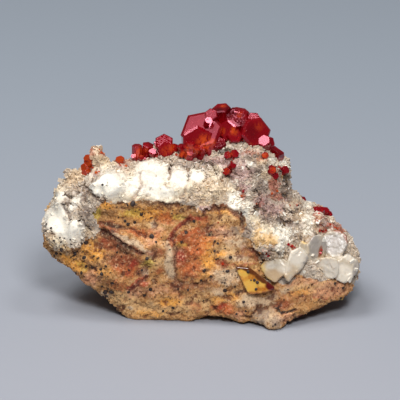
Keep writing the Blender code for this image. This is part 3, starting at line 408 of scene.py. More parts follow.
class Nodes:
    """The nodes of one tree. Its add method makes each of them."""

    def __init__(self, tree):
        self.tree = tree

    def add(self, kind, settings=None, values=None, output=0):
        node = self.tree.nodes.new(kind)
        for name, value in (settings or {}).items():
            setattr(node, name, value)
        for name, value in (values or {}).items():
            socket = node.inputs[name]
            if isinstance(value, Value):
                self.tree.links.new(value.socket, socket)
            elif socket.type == "RGBA" and len(value) == 3:
                socket.default_value = (*value, 1.0)
            else:
                socket.default_value = value
        return Value(self, node.outputs[output]) if len(node.outputs) else node

    def maths(self, operation, *given):
        return self.add("ShaderNodeMath", {"operation": operation}, dict(enumerate(given)))

    def mix(self, factor, under, over, blend="MIX"):
        """Two colours mixed, or blended in another way, by a factor."""
        return self.add("ShaderNodeMix", {"data_type": "RGBA", "blend_type": blend},
                        {0: factor, 6: under, 7: over}, 2)

    def attribute(self, name):
        return self.add("ShaderNodeAttribute", {"attribute_name": name}, None, 2)

    def place(self):
        return self.add("ShaderNodeTexCoord", None, None, 3)

    def noise(self, place, grain, detail=2.0, roughness=0.5):
        """Soft noise, 0 to 1, whose blotches are about one grain wide, in millimetres."""
        return self.add("ShaderNodeTexNoise", None, {
            "Vector": place, "Scale": 1000.0 / grain, "Detail": detail, "Roughness": roughness})

    def grains(self, place, grain, channel):
        """A random number for each grain, one grain wide in millimetres. The channel tells two sets apart."""
        cells = self.add("ShaderNodeTexVoronoi", None, {"Vector": place, "Scale": 1000.0 / grain}, 1)
        return self.add("ShaderNodeSeparateColor", None, {0: cells}, channel)

    def bump(self, height, strength, distance):
        return self.add("ShaderNodeBump", None, {"Strength": strength, "Distance": distance, "Height": height})

    def surface(self, volume=None, **values):
        """The material's one shader, joined to its output, with what fills the inside if anything does."""
        given = {name.replace("_", " "): value for name, value in values.items()}
        ends = {"Surface": self.add("ShaderNodeBsdfPrincipled", None, given)}
        if volume:
            ends["Volume"] = volume
        self.add("ShaderNodeOutputMaterial", None, ends)


def new_material(name, slot_name):
    """An empty node material that holds the finish of the record that it stands for."""
    made = bpy.data.materials.new(name)
    made.use_nodes = True
    made.node_tree.nodes.clear()
    made["slot"] = slot_name
    return made, Nodes(made.node_tree)


def colour_setting(name, default, description):
    return FloatVectorProperty(name=name, subtype="COLOR", size=3, min=0, max=1, default=default,
                               description=description)


def length_setting(name, default, description):
    return FloatProperty(name=name, subtype="DISTANCE", unit="LENGTH", default=default, description=description)


def settings_colour(settings, key):
    return tuple(getattr(settings, key))


class SPECIMEN_PG_rock(bpy.types.PropertyGroup):
    """Sizes and colours of the rock and its crust."""

    point_pitch: length_setting("Point pitch", 0.31 * MM, "Distance between the points of the skin")
    boulder_swell: length_setting("Boulder swell", 0.34 * MM, "How far the white boulders' soft bumps stand out")
    druse_relief: length_setting("Druse relief", 0.52 * MM, "How far the crust's small crystal faces stand out")
    grit_relief: length_setting("Grit relief", 0.44 * MM, "How far the rock's rough grit stands out")
    crack_depth: length_setting("Crack depth", 0.45 * MM, "How deep the cracks of the crust are")
    base: colour_setting("Rock", srgb(192, 136, 76), "Colour of the rock between its stains")


for _key, (_label, _colour, *_rest) in LAYERS.items():
    SPECIMEN_PG_rock.__annotations__[_key] = colour_setting(_label, _colour, f"Colour of the layer {_label}")


class SPECIMEN_PG_crystals(bpy.types.PropertyGroup):
    """The vanadinite crystals."""

    edge_wear: length_setting("Edge wear", 0.05 * MM, "Width of the worn edges of the crystals")
    crimson: colour_setting("Crimson", srgb(164, 8, 22), "Colour of the deep parts of the crystals")
    flame: colour_setting("Flame", srgb(255, 96, 34), "Colour of the glowing parts of the crystals")
    amber: colour_setting("Amber", srgb(210, 76, 24), "Colour of the brown-orange crystals")


class SPECIMEN_PG_stage(bpy.types.PropertyGroup):
    """The floor and the studio light."""

    floor: colour_setting("Floor", srgb(150, 152, 160), "Colour of the floor near the camera")
    floor_far: colour_setting("Far floor", srgb(148, 156, 166), "Colour of the floor behind the specimen")
    sky: colour_setting("Surroundings", srgb(236, 240, 246), "Colour of the light from all round")


def link(thing):
    bpy.context.scene.collection.objects.link(thing)
    return thing


def made_of(bm, name):
    """A new object whose mesh is what was built in bm."""
    mesh = bpy.data.meshes.new(name)
    bm.to_mesh(mesh)
    bm.free()
    return link(bpy.data.objects.new(name, mesh))


def node_copy(node, name):
    """A CAD node's own shape as a new object, with its loose triangles joined up."""
    bm = bmesh.new()
    bm.from_mesh(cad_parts[node].data)
    bmesh.ops.remove_doubles(bm, verts=bm.verts, dist=0.002 * MM)
    return made_of(bm, name)


def settle(thing):
    """Applies the modifiers of an object to its mesh."""
    bpy.context.view_layer.update()
    evaluated = thing.evaluated_get(bpy.context.evaluated_depsgraph_get())
    mesh = bpy.data.meshes.new_from_object(evaluated)
    thing.modifiers.clear()
    thing.data = mesh
    mesh.name = thing.name
    return thing


def remeshed(thing, pitch, rounds):
    """An object with its skin made of even faces, one pitch apart, and smoothed in some rounds."""
    skin = thing.modifiers.new("skin", "REMESH")
    skin.mode = "VOXEL"
    skin.voxel_size = pitch
    worn = thing.modifiers.new("worn", "SMOOTH")
    worn.factor = 0.5
    worn.iterations = rounds
    return settle(thing)


def points_of(mesh):
    found = np.empty(len(mesh.vertices) * 3)
    mesh.vertices.foreach_get("co", found)
    return found.reshape(-1, 3)


def normals_of(mesh):
    found = np.empty(len(mesh.vertices) * 3)
    mesh.vertex_normals.foreach_get("vector", found)
    return found.reshape(-1, 3)


def put_points(mesh, points):
    mesh.vertices.foreach_set("co", points.ravel())
    mesh.update()


def put_mask(mesh, name, values):
    layer = mesh.attributes.new(name, "FLOAT", "POINT")
    layer.data.foreach_set("value", np.clip(values, 0, 1).astype(np.float32))


def step(values, low, high):
    """0 below low, 1 above high, and a smooth rise between them."""
    share = np.clip((values - low) / (high - low), 0, 1)
    return share * share * (3 - 2 * share)


def lumps(points, size, seed=0.0, octaves=1):
    """Soft noise of about -1 to 1 at each point. Size is that of one lump, in metres."""
    moved = points / size + np.array((seed * 7.3, seed * 3.1, seed * 5.7))
    if octaves == 1:
        return np.array([noise.noise(place) for place in moved])
    return np.array([noise.fractal(place, 0.7, 2.0, octaves) for place in moved])


# noise.noise_vector gives another result each time Blender starts, so a tilt is three plain noises.
TILT_SHIFTS = (Vector((9.321, -1.531, -7.951)), Vector((0.0, 0.0, 0.0)), Vector((6.327, 0.167, -2.672)))


def facets(points, size, seed=0.0):
    """The relief of small flat crystal faces, each tilted its own way, of about -1 to 1."""
    moved = points / size + seed
    relief = np.empty(len(points))
    for count, place in enumerate(moved):
        where = Vector(place)
        middle = noise.voronoi(where)[1][0]
        tilt = Vector([noise.noise(middle * 7.1 + shift) for shift in TILT_SHIFTS])
        relief[count] = (where - middle).dot(tilt) * 2.2 + noise.noise(middle * 5.3) * 0.9
    return relief


def photo_places(points):
    """The photograph's column and row at which each point shows."""
    columns = MIDDLE_COLUMN + (points[:, 0] - MIDDLE_X) / PIXEL
    ups = (points[:, 1] - FOOT_Y) * math.sin(VIEW_TILT) + points[:, 2] * math.cos(VIEW_TILT)
    return columns, FOOT_ROW - ups / PIXEL


def photo_ray(column, row):
    """Where the sight line through a place of the photograph starts, in front of the specimen."""
    foot = Vector((MIDDLE_X + (column - MIDDLE_COLUMN) * PIXEL, FOOT_Y, 0.0))
    return foot + UPWARDS * ((FOOT_ROW - row) * PIXEL) - LOOK * STAND_OFF


def in_patch(columns, rows, patch):
    """1 in the middle of a patch, one half at its edge, 0 well outside it, times its strength."""
    x, y, wide, tall, turn, strength = patch
    c, s = math.cos(math.radians(turn)), math.sin(math.radians(turn))
    u = ((columns - x) * c + (rows - y) * s) / wide
    v = ((rows - y) * c - (columns - x) * s) / tall
    return np.clip(1.5 - np.hypot(u, v), 0, 1) * strength


def from_line(columns, rows, start, end):
    """How far each place is from a line between two places of the photograph, in pixels."""
    along = np.array(end, float) - np.array(start, float)
    share = ((columns - start[0]) * along[0] + (rows - start[1]) * along[1]) / along.dot(along)
    share = np.clip(share, 0, 1)
    return np.hypot(columns - start[0] - along[0] * share, rows - start[1] - along[1] * share)


def in_stroke(columns, rows, stroke):
    """1 along the middle of a stroke, one half at its edge, 0 well outside it."""
    *places, half = stroke
    far = np.min([from_line(columns, rows, a, b) for a, b in zip(places, places[1:])], axis=0)
    return np.clip(1.5 - far / half, 0, 1)


def in_outline(columns, rows, corners, soft):
    """1 inside an outline, 0 outside, and one half on it."""
    inside = np.zeros(len(columns), bool)
    far = np.full(len(columns), 1e9)
    for (x0, y0), (x1, y1) in zip(corners, corners[1:] + corners[:1]):
        far = np.minimum(far, from_line(columns, rows, (x0, y0), (x1, y1)))
        if y0 != y1:
            crosses = (y0 > rows) != (y1 > rows)
            inside ^= crosses & (columns < (x1 - x0) * (rows - y0) / (y1 - y0) + x0)
    return np.clip(0.5 + np.where(inside, far, -far) / (2 * soft), 0, 1)


# The crust's lower edge where the photograph doesn't reach, as in the solids: its height over the
# level stretch, how it drops past each end and rises to the back, and its lowest height.
CRUST_EDGE, CRUST_LEVEL, CRUST_DROP, CRUST_LOWEST = 23.0, (-19.0, 2.0), 0.85, 7.0

# Share of each layer in the places that the photograph doesn't show: size of its blotches in
# millimetres, and the noise level above which it lies.
UNSEEN = {
    "sand": (6.0, 0.10), "pale": (7.0, 0.25), "pink": (6.0, 0.30), "ochre": (8.0, 0.12), "orange": (6.0, 0.18),
    "rust": (6.0, 0.15), "umber": (5.0, 0.28), "red": (4.0, 0.42), "lime": (5.0, 0.42), "grey": (5.0, 0.16),
    "mauve": (6.0, 0.20), "beige": (5.0, 0.14), "cream": (7.0, 0.12), "snow": (6.0, 0.12), "yellow": (5.0, 0.42),
    "blush": (4.0, 0.42), "fissure": (1.6, 0.46),
}
CRUST_LAYERS = ("grey", "mauve", "beige", "cream", "snow", "yellow", "blush")

# Sizes of the skin's lumps, small crystal faces and slanting beds, and where the boulders end on the
# right. Then how far the skin may sink or rise, how far it may pass the solid's box in millimetres, and
# how near a crystal it closes up to it.
BROAD, MIDDLING, FINE = 3.2 * MM, 1.3 * MM, 0.62 * MM
FACE, SMALL_FACE = 1.2 * MM, 0.62 * MM
BED, BED_SLOPE, BED_LONG, BED_DEEP = 1.9 * MM, math.radians(35), 2.4, 1.6
BOULDERS_END = (7 * MM, 5 * MM)
LEAST_RISE, MOST_RISE = -1.1 * MM, 0.65 * MM
SLACK = (0.9, 0.6, 0.5)
CLOSE = 0.9 * MM


def paint_masks(points, normals):
    """Every layer's mask at the points of the skin, how far each point faces the front view, and how
    deep it lies in a groove."""
    columns, rows = photo_places(points)
    columns = columns + 2.4 * lumps(points, 1.9 * MM, 1) + 1.6 * lumps(points, 0.7 * MM, 2)
    rows = rows + 2.4 * lumps(points, 1.9 * MM, 3) + 1.6 * lumps(points, 0.7 * MM, 4)
    front = step(normals @ np.array(-LOOK), -0.15, 0.15)
    past = np.maximum(0, np.maximum(CRUST_LEVEL[0] * MM - points[:, 0], points[:, 0] - CRUST_LEVEL[1] * MM))
    edge = np.maximum(CRUST_EDGE * MM - CRUST_DROP * past + 0.1 * np.maximum(0, points[:, 1]), CRUST_LOWEST * MM)
    ragged = points[:, 2] - edge + 1.6 * MM * lumps(points, 3.0 * MM, 5, 3)
    masks = {"crust": np.clip(0.5 + ragged / (1.2 * MM), 0, 1)}
    for layer, (size, level) in UNSEEN.items():
        spread = lumps(points, size * MM, 10 + len(masks), 3)
        masks[layer] = np.clip(0.5 + (spread - level) * 2.2, 0, 1)
    seen = {"crust": 1 - in_outline(columns, rows, ROCK_FACE, 2.5)}
    for layer in masks:
        shares = [in_patch(columns, rows, patch) for patch in PATCHES.get(layer, ())]
        shares += [in_stroke(columns, rows, stroke) for stroke in STROKES.get(layer, ())]
        if shares:
            seen[layer] = np.max(shares, axis=0)
    for layer in masks:
        masks[layer] = front * seen[layer] + (1 - front) * masks[layer]
    for layer in CRUST_LAYERS:
        masks[layer] = masks[layer] * np.maximum(step(masks["crust"], 0.2, 0.6), 0.75 * front)
    groove = np.zeros(len(points))
    for *line, depth in GROOVES:
        groove = np.maximum(groove, depth * MM * np.minimum(1, in_stroke(columns, rows, line)))
    return masks, front, groove * front


def solid_tree(names):
    """One search tree over the solids of these CAD nodes."""
    places, faces = [], []
    for name in names:
        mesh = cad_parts[name].data
        first = len(places)
        places += [vert.co.copy() for vert in mesh.vertices]
        faces += [tuple(first + corner for corner in face.vertices) for face in mesh.polygons]
    return BVHTree.FromPolygons(places, faces)


def grown_on(points, tree, reach):
    """The points near a crystal moved onto it, so that the crust closes round its foot."""
    moved = points.copy()
    for count, place in enumerate(points):
        found, _, _, far = tree.find_nearest(Vector(place), reach)
        if found is not None:
            share = 1 - min(1.0, max(0.0, (far / reach - 0.5) * 2))
            moved[count] += (np.array(found) - place) * share * 0.95
    return moved


def rock_and_crust(settings):
    """The skin of the rock and its crust: rounded white boulders, jagged druse and gritty rock."""
    skin = remeshed(node_copy("matrix_block", "rock_and_crust"), settings.point_pitch, 3)
    points, normals = points_of(skin.data), normals_of(skin.data)
    masks, front, groove = paint_masks(points, normals)
    crust = step(masks["crust"], 0.3, 0.7)
    boulder = crust * step(masks["snow"], 0.25, 0.7) * step(points[:, 0], *BOULDERS_END)
    druse = crust * (1 - boulder)
    rock = 1 - crust
    broad, middling, fine = lumps(points, BROAD, 21, 2), lumps(points, MIDDLING, 22, 3), lumps(points, FINE, 23, 2)
    across, along = math.cos(BED_SLOPE), math.sin(BED_SLOPE)
    beds = np.stack(((points[:, 0] * across + points[:, 2] * along) / BED_LONG, points[:, 1] / BED_DEEP,
                     points[:, 2] * across - points[:, 0] * along), axis=1)
    ridges = (0.28 - np.abs(lumps(beds, BED, 24, 2))) * 2.4
    faces, small_faces = facets(points, FACE, 3.7), facets(points, SMALL_FACE, 9.1)
    jagged = 0.75 * faces + 0.3 * small_faces + 0.5 * broad
    gritty = 0.7 * middling + 0.5 * broad + 0.35 * small_faces + 0.35 * ridges
    rise = boulder * (settings.boulder_swell * (0.8 * broad + 0.25 * middling) + 0.03 * MM * fine)
    rise += druse * (settings.druse_relief * jagged + 0.06 * MM * fine)
    rise += rock * (settings.grit_relief * gritty + 0.12 * MM * fine)
    rise -= settings.crack_depth * step(masks["fissure"], 0.4, 0.9) * crust + groove
    rise = np.clip(rise, LEAST_RISE, MOST_RISE)
    rise *= step(points[:, 2], 0.0, 1.0 * MM)
    moved = points + normals * rise[:, None]
    moved = grown_on(moved, solid_tree([*CRYSTAL_PIECES, "baryte_blades", "amber_blade"]), CLOSE)
    low, high = (np.array(corner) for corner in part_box("matrix_block"))
    slack = np.array(SLACK) * MM
    moved = np.clip(moved, low - slack, high + slack)
    moved[:, 2] = np.maximum(moved[:, 2], 0)
    put_points(skin.data, moved)
    for layer, values in masks.items():
        put_mask(skin.data, layer, values)
    # Painted shade: a mask of the hollows of the druse and the grit and of the grooves, by which the colour is
    # darkened there.
    put_mask(skin.data, "hollow", druse * step(-jagged, 0.2, 1.0) + rock * step(-gritty, 0.15, 0.8)
             + groove / (0.5 * MM))
    columns, rows = photo_places(moved)
    smooth = step(np.maximum(masks["cream"], masks["snow"] * (columns < SMOOTH_TO)), 0.3, 0.8)
    put_mask(skin.data, "sugar", druse * (0.9 - 0.8 * smooth) + boulder * 0.02)
    foot = front * np.clip(in_patch(columns, rows, FOOT_BLOCK), 0, 1)
    put_mask(skin.data, "sand_grains", rock * (1 - 0.85 * foot) * step(points[:, 2], 0.2 * MM, 0.8 * MM))
    specks = np.max([in_patch(columns, rows, patch) for patch in SPECK_PATCHES], axis=0)
    put_mask(skin.data, "specks", np.maximum(front * specks, 0.08 * rock))
    skin.data.shade_smooth()
    return skin


def rock_material(settings):
    made, nodes = new_material("stained_rock_and_baryte_crust", "iron_stained_rock")
    place = nodes.place()
    tone = nodes.attribute("tone")
    grains, crumbs = nodes.grains(place, 0.44, 0), nodes.grains(place, 0.27, 1)
    coarse = nodes.noise(place, 0.95, 3.0, 0.65)
    fine = nodes.noise(place, 0.34, 2.0, 0.6)
    blotches = nodes.noise(place, 2.6, 3.0, 0.65)
    colour = nodes.mix(blotches.smooth(0.4, 0.62) * 0.6, settings_colour(settings, "base"),
                       tuple(c * 0.62 for c in settings.base))
    crust = nodes.attribute("crust")
    bare = 1 - crust.smooth(0.35, 0.65)
    chalky = nodes.noise(place, 1.5, 3.0, 0.7).smooth(0.52, 0.7)
    colour = nodes.mix(chalky * 0.5, colour, srgb(218, 174, 118))
    for key, (_, _, soft, rough, cover) in LAYERS.items():
        ragged = nodes.attribute(key) + (coarse - 0.5) * rough * 1.1 + (grains + crumbs - 1) * rough * 0.22
        share = ragged.smooth(0.5 - soft, 0.5 + soft) * cover
        colour = nodes.mix(share, colour, settings_colour(settings, key))
    # Painted shade: the colour darkened in the hollows and the grooves, where shade falls.
    hollow = nodes.attribute("hollow").smooth(0.1, 0.9)
    shaded = nodes.mix(1.0, colour, srgb(142, 96, 74), "MULTIPLY")
    colour = nodes.mix(hollow * (0.6 + bare * 0.2), colour, shaded)
    grain = 0.5 + (grains + crumbs - 1) * 0.5 + (fine - 0.5) * 0.8 + tone * 0.6
    dark, glint = (1 - grain).smooth(0.55, 0.95), grain.smooth(0.55, 0.95)
    dimmed = nodes.mix(1.0, colour, srgb(118, 80, 62), "MULTIPLY")
    colour = nodes.mix(dark * (0.25 + bare * 0.35), colour, dimmed)
    colour = nodes.mix(glint * (0.2 + bare * 0.1), colour, srgb(240, 206, 154))
    height = fine * 0.6 + grains * 0.4 + coarse * 0.5
    nodes.surface(
        Base_Color=colour, Roughness=0.5 + bare * 0.32 - (grains > 0.84) * 0.25, IOR=1.6,
        Normal=nodes.bump(height, 0.35, 0.12 * MM), Subsurface_Weight=0.1,
        Subsurface_Radius=(1.0, 0.8, 0.6), Subsurface_Scale=0.5 * MM)
    return made


def give(piece, material, *replaced):
    """Gives a finished piece its material, its body, its finish in the record and what it stands for."""
    if material.name not in [m.name for m in piece.data.materials if m]:
        piece.data.materials.clear()
        piece.data.materials.append(material)
    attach(piece, "root")
    if replaced:
        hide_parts(*replaced)


class SPECIMEN_OT_rock(bpy.types.Operator):
    """Make the rock and its crust"""

    bl_idname = "specimen.rock"
    bl_label = "Rock and crust"

    def execute(self, context):
        settings = context.scene.specimen_rock
        skin = rock_and_crust(settings)
        give(skin, rock_material(settings), "matrix_block")
        return {"FINISHED"}


# What is strewn over the skin: the grain, its mask, how many to a square metre where the mask is full,
# least and greatest size, and seed.
GRAINS = {
    "sugary_crust": ("tablet", "sugar", 3.4e6, 0.3 * MM, 1.0 * MM, 3),
    "sandy_rock": ("pebble", "sand_grains", 5.0e6, 0.12 * MM, 0.42 * MM, 5),
    "black_dust": ("pebble", "specks", 1.3e6, 0.18 * MM, 0.5 * MM, 11),
}


def scatter_tree():
    """Grains strewn over a surface: where a mask lets them lie, each turned and sized its own way."""
    tree = bpy.data.node_groups.new("strewn_grains", "GeometryNodeTree")
    face = tree.interface
    face.new_socket("Geometry", in_out="INPUT", socket_type="NodeSocketGeometry")
    for name, kind in (("Grain", "Object"), ("Where", "String"), ("Density", "Float"), ("Least size", "Vector"),
                       ("Greatest size", "Vector"), ("Seed", "Int"), ("Finish", "Material")):
        face.new_socket(name, in_out="INPUT", socket_type="NodeSocket" + kind)
    face.new_socket("Geometry", in_out="OUTPUT", socket_type="NodeSocketGeometry")
    nodes = Nodes(tree)
    given = tree.nodes.new("NodeGroupInput")
    ask = {socket.name: Value(nodes, socket) for socket in given.outputs if socket.name}
    where = nodes.add("GeometryNodeInputNamedAttribute", {"data_type": "FLOAT"}, {"Name": ask["Where"]})
    points = nodes.add("GeometryNodeDistributePointsOnFaces", {"distribute_method": "RANDOM"}, {
        "Mesh": ask["Geometry"], "Density": where * ask["Density"], "Seed": ask["Seed"]})
    grain = nodes.add("GeometryNodeObjectInfo", None, {"Object": ask["Grain"]}, "Geometry")
    turn = nodes.add("FunctionNodeRandomValue", {"data_type": "FLOAT_VECTOR"}, {
        "Min": (0, 0, 0), "Max": (math.tau,) * 3, "Seed": ask["Seed"]})
    size = nodes.add("FunctionNodeRandomValue", {"data_type": "FLOAT_VECTOR"}, {
        "Min": ask["Least size"], "Max": ask["Greatest size"], "Seed": ask["Seed"] + 1})
    strewn = nodes.add("GeometryNodeInstanceOnPoints", None, {
        "Points": points, "Instance": grain, "Rotation": turn, "Scale": size})
    tone = nodes.add("FunctionNodeRandomValue", {"data_type": "FLOAT"}, {
        "Min": -0.5, "Max": 0.5, "Seed": ask["Seed"] + 2}, 1)
    toned = nodes.add("GeometryNodeStoreNamedAttribute", {"data_type": "FLOAT", "domain": "INSTANCE"}, {
        "Geometry": strewn, "Name": "tone", "Value": tone})
    real = nodes.add("GeometryNodeRealizeInstances", None, {"Geometry": toned})
    finished = nodes.add("GeometryNodeSetMaterial", None, {"Geometry": real, "Material": ask["Finish"]})
    result = tree.nodes.new("NodeGroupOutput")
    tree.links.new(finished.socket, result.inputs[0])
    return tree


def strewn(name, ground, tree, **inputs):
    """A new piece of grains strewn over a surface by the tree, with these inputs."""
    carrier = link(bpy.data.objects.new(name, ground.data.copy()))
    carrier.modifiers.new("strewn", "NODES").node_group = tree
    sockets = {item.name: item.identifier for item in tree.interface.items_tree if item.in_out == "INPUT"}
    for key, value in inputs.items():
        carrier.modifiers["strewn"][sockets[key.replace("_", " ")]] = value
    settle(carrier)
    if not carrier.data.polygons:
        raise RuntimeError(f"no grains were strewn for {name}")
    return carrier


def tablet_shape():
    """A thin block, one unit long, to strew."""
    bm = bmesh.new()
    bmesh.ops.create_cube(bm, size=1)
    bmesh.ops.scale(bm, vec=(1, 0.8, 0.35), verts=bm.verts)
    return made_of(bm, "tablet")


def pebble_shape():
    """A rough eight-faced grain, one unit across, to strew."""
    bm = bmesh.new()
    tips = [bm.verts.new(Vector(tip) * 0.5) for tip in
            ((1, 0.1, 0), (-0.9, 0, 0.2), (0.1, 1, 0.1), (0, -1, -0.1), (0.1, 0.1, 0.9), (-0.1, 0, -1))]
    for a, b, c in ((0, 2, 4), (2, 1, 4), (1, 3, 4), (3, 0, 4), (2, 0, 5), (1, 2, 5), (3, 1, 5), (0, 3, 5)):
        bm.faces.new((tips[a], tips[b], tips[c]))
    bmesh.ops.recalc_face_normals(bm, faces=bm.faces)
    return made_of(bm, "pebble")


def strew(names, finish):
    """Makes the named pieces of grains over the rock's skin."""
    ground, tree = bpy.data.objects["rock_and_crust"], scatter_tree()
    shapes = {"tablet": tablet_shape(), "pebble": pebble_shape()}
    for name in names:
        shape, mask, density, least, greatest, seed = GRAINS[name]
        give(strewn(name, ground, tree, Grain=shapes[shape], Where=mask, Density=density, Least_size=(least,) * 3,
                    Greatest_size=(greatest,) * 3, Seed=seed, Finish=finish), finish)
    for helper in shapes.values():
        bpy.data.objects.remove(helper)
    bpy.data.node_groups.remove(tree)


class SPECIMEN_OT_grains(bpy.types.Operator):
    """Strew sugary baryte over the crust and sand over the rock"""

    bl_idname = "specimen.grains"
    bl_label = "Sugar and sand"

    def execute(self, context):
        strew(("sugary_crust", "sandy_rock"), bpy.data.materials["stained_rock_and_baryte_crust"])
        return {"FINISHED"}


# Where orange glow is painted into a crystal's colour, and where deep maroon shade is painted into it, in the front
# view: column, row, reach in pixels and strength.
GLOWS = (
    (205, 143, 12, 1), (212, 142, 6, 0.8), (139, 152, 8, 0.9), (156, 150, 8, 0.8), (172, 148, 7, 0.7),
    (234, 131, 6, 1), (223, 106, 5, 0.7), (240, 115, 5, 0.5), (190, 151, 9, 1), (197, 152, 6, 0.8),
    (136, 155, 6, 0.8), (146, 150, 4, 0.6), (264, 155, 6, 0.9), (184, 155, 7, 1), (222, 131, 6, 0.5),
    (166, 151, 7, 0.6), (273, 170, 5, 0.8), (228, 170, 6, 0.5), (231, 154, 6, 0.4), (259, 126, 7, 0.3),
)
PAINTED_SHADE_SPOTS = (
    (218, 111, 11, 1), (230, 112, 12, 1), (240, 124, 12, 0.8), (246, 108, 10, 1), (222, 150, 14, 0.9),
    (252, 132, 12, 0.6), (268, 122, 7, 0.6), (278, 154, 10, 0.8), (150, 144, 6, 0.5), (166, 134, 7, 0.7),
    (246, 142, 8, 0.3), (236, 104, 7, 0.7),
)


def near_spots(nodes, place, spots, tree):
    """How near a place of a crystal is to any of some spots, 1 at the spot and 0 past its reach."""
    share = 0.0
    for column, row, reach, strength in spots:
        found = tree.ray_cast(photo_ray(column, row), LOOK)[0]
        if found is None:
            continue
        far = nodes.add("ShaderNodeVectorMath", {"operation": "DISTANCE"}, {0: place, 1: tuple(found)}, 1)
        here = nodes.add("ShaderNodeMapRange", {"interpolation_type": "SMOOTHSTEP"}, {
            "Value": far, "From Min": reach * PIXEL, "From Max": reach * PIXEL * 0.2, "To Max": strength})
        share = nodes.maths("MAXIMUM", here, share)
    return share


def vanadinite_material(name, heart, flame, thin=0.0, mask=None):
    """Vanadinite: crimson glass with painted orange glows, painted deep maroon shade and fine growth lines."""
    made, nodes = new_material(name, "vanadinite")
    place = nodes.place()
    streaky = nodes.add("ShaderNodeVectorMath", {"operation": "MULTIPLY"}, {0: place, 1: (1.2, 1.2, 0.5)})
    veil = nodes.noise(streaky, 0.65, 3.0, 0.65)
    growth = nodes.noise(streaky, 0.4, 2.0, 0.6)
    tree = solid_tree(CRYSTAL_PIECES)
    if mask:
        glow = nodes.attribute(mask)
    else:
        # Painted glow: orange laid over the crimson near the glow spots and in patches of a noise, as if light shone
        # through the crystal.
        glow = near_spots(nodes, place, GLOWS, tree) * veil.smooth(0.36, 0.56)
        glow = nodes.maths("MAXIMUM", glow, veil.smooth(0.6, 0.8) * 0.5)
    # Painted shade: the crimson darkened to deep maroon near the shade spots.
    deep = near_spots(nodes, place, PAINTED_SHADE_SPOTS, tree)
    colour = nodes.mix(deep * 0.85, heart, tuple(c * 0.22 for c in heart))
    colour = nodes.mix(glow, colour, flame)
    depth = nodes.add("ShaderNodeVolumeAbsorption", None, {"Color": (0.94, 0.2 + thin, 0.08), "Density": 600})
    nodes.surface(
        depth, Base_Color=colour, Roughness=0.06 + growth.smooth(0.45, 0.75) * 0.24, IOR=1.95,
        Transmission_Weight=0.55, Specular_Tint=(1.0, 0.34, 0.44), Normal=nodes.bump(growth, 0.04, 0.04 * MM))
    return made


def worn_crystal(node, name, wear):
    """A crystal node's solid with its flat faces whole and its edges a little worn."""
    piece = node_copy(node, name)
    bm = bmesh.new()
    bm.from_mesh(piece.data)
    bmesh.ops.dissolve_limit(bm, angle_limit=math.radians(1.0), verts=bm.verts, edges=bm.edges)
    bm.to_mesh(piece.data)
    bm.free()
    edge = piece.modifiers.new("worn_edges", "BEVEL")
    edge.width = wear
    edge.segments = 1
    edge.limit_method = "ANGLE"
    edge.angle_limit = math.radians(25)
    edge.use_clamp_overlap = True
    piece.modifiers.new("triangles", "TRIANGULATE")
    return settle(piece)


class SPECIMEN_OT_crystals(bpy.types.Operator):
    """Make every vanadinite crystal group"""

    bl_idname = "specimen.crystals"
    bl_label = "Vanadinite crystals"

    def execute(self, context):
        settings = context.scene.specimen_crystals
        crimson, flame, amber = (settings_colour(settings, key) for key in ("crimson", "flame", "amber"))
        finish = vanadinite_material("vanadinite_crystal", crimson, flame)
        honeyed = vanadinite_material("honeyed_vanadinite", amber, srgb(244, 150, 60), 0.2)
        for node, name in CRYSTAL_PIECES.items():
            worn = worn_crystal(node, name, settings.edge_wear)
            give(worn, honeyed if name in HONEYED else finish, node)
        return {"FINISHED"}


# Seed of the specks', seeds' and flakes' turns and sizes, and how much wider than they look the black
# specks are made.
SPECK_SEED = 23
SPECK_SWELL = 1.2


def skin_of(name):
    return BVHTree.FromObject(bpy.data.objects[name], bpy.context.evaluated_depsgraph_get())


def shown_on(skins, column, row):
    """The place and the surface's direction that show at a place of the photograph, if any do."""
    found = [skin.ray_cast(photo_ray(column, row), LOOK)[:2] for skin in skins]
    found = [spot for spot in found if spot[0] is not None]
    return min(found, key=lambda spot: spot[0].dot(LOOK)) if found else None


def tilted(normal, reach, chance):
    """A direction near another one, tilted at random."""
    return (normal + Vector([chance.uniform(-reach, reach) for _ in range(3)])).normalized()


def standing(place, aim, chance):
    """Stands a shape on a place with its top to a direction, turned at random."""
    turn = aim.to_track_quat("Z", "X") @ Quaternion((0, 0, 1), chance.uniform(0, math.tau))
    return Matrix.Translation(place) @ turn.to_matrix().to_4x4()


def add_speck(bm, place, normal, reach, chance):
    """A flattened black bead, half sunk in the surface."""
    stand = standing(place + normal * reach * 0.3, normal, chance)
    shape = Matrix.Diagonal((reach * chance.uniform(0.9, 1.25), reach * chance.uniform(0.85, 1.1), reach * 0.6, 1))
    bmesh.ops.create_icosphere(bm, subdivisions=1, radius=1.0, matrix=stand @ shape)


def add_seed(bm, place, normal, reach, chance, warmth):
    """A tiny six-sided crystal, standing out of the surface."""
    aim = tilted(normal, 0.5, chance)
    corners = bmesh.ops.create_cone(
        bm, cap_ends=True, cap_tris=False, segments=6, radius1=reach, radius2=reach * 0.94, depth=reach * 1.7,
        matrix=standing(place + aim * reach * 0.35, aim, chance))["verts"]
    warm = bm.verts.layers.float["warmth"]
    for corner in corners:
        corner[warm] = warmth


def add_flake(bm, place, normal, reach, chance):
    """A thin white tablet, half sunk in the crust and tilted its own way."""
    stand = standing(place, tilted(normal, 0.9, chance), chance)
    shape = Matrix.Diagonal((reach * 2, reach * chance.uniform(1.2, 1.8), reach * chance.uniform(0.4, 0.7), 1))
    bmesh.ops.create_cube(bm, size=1.0, matrix=stand @ shape)


def speck_material():
    made, nodes = new_material("black_oxide", "iron_stained_rock")
    fine = nodes.noise(nodes.place(), 0.2, 2.0, 0.6)
    colour = nodes.mix(fine, srgb(22, 14, 14), srgb(58, 36, 26))
    nodes.surface(Base_Color=colour, Roughness=0.4 + fine * 0.4)
    return made


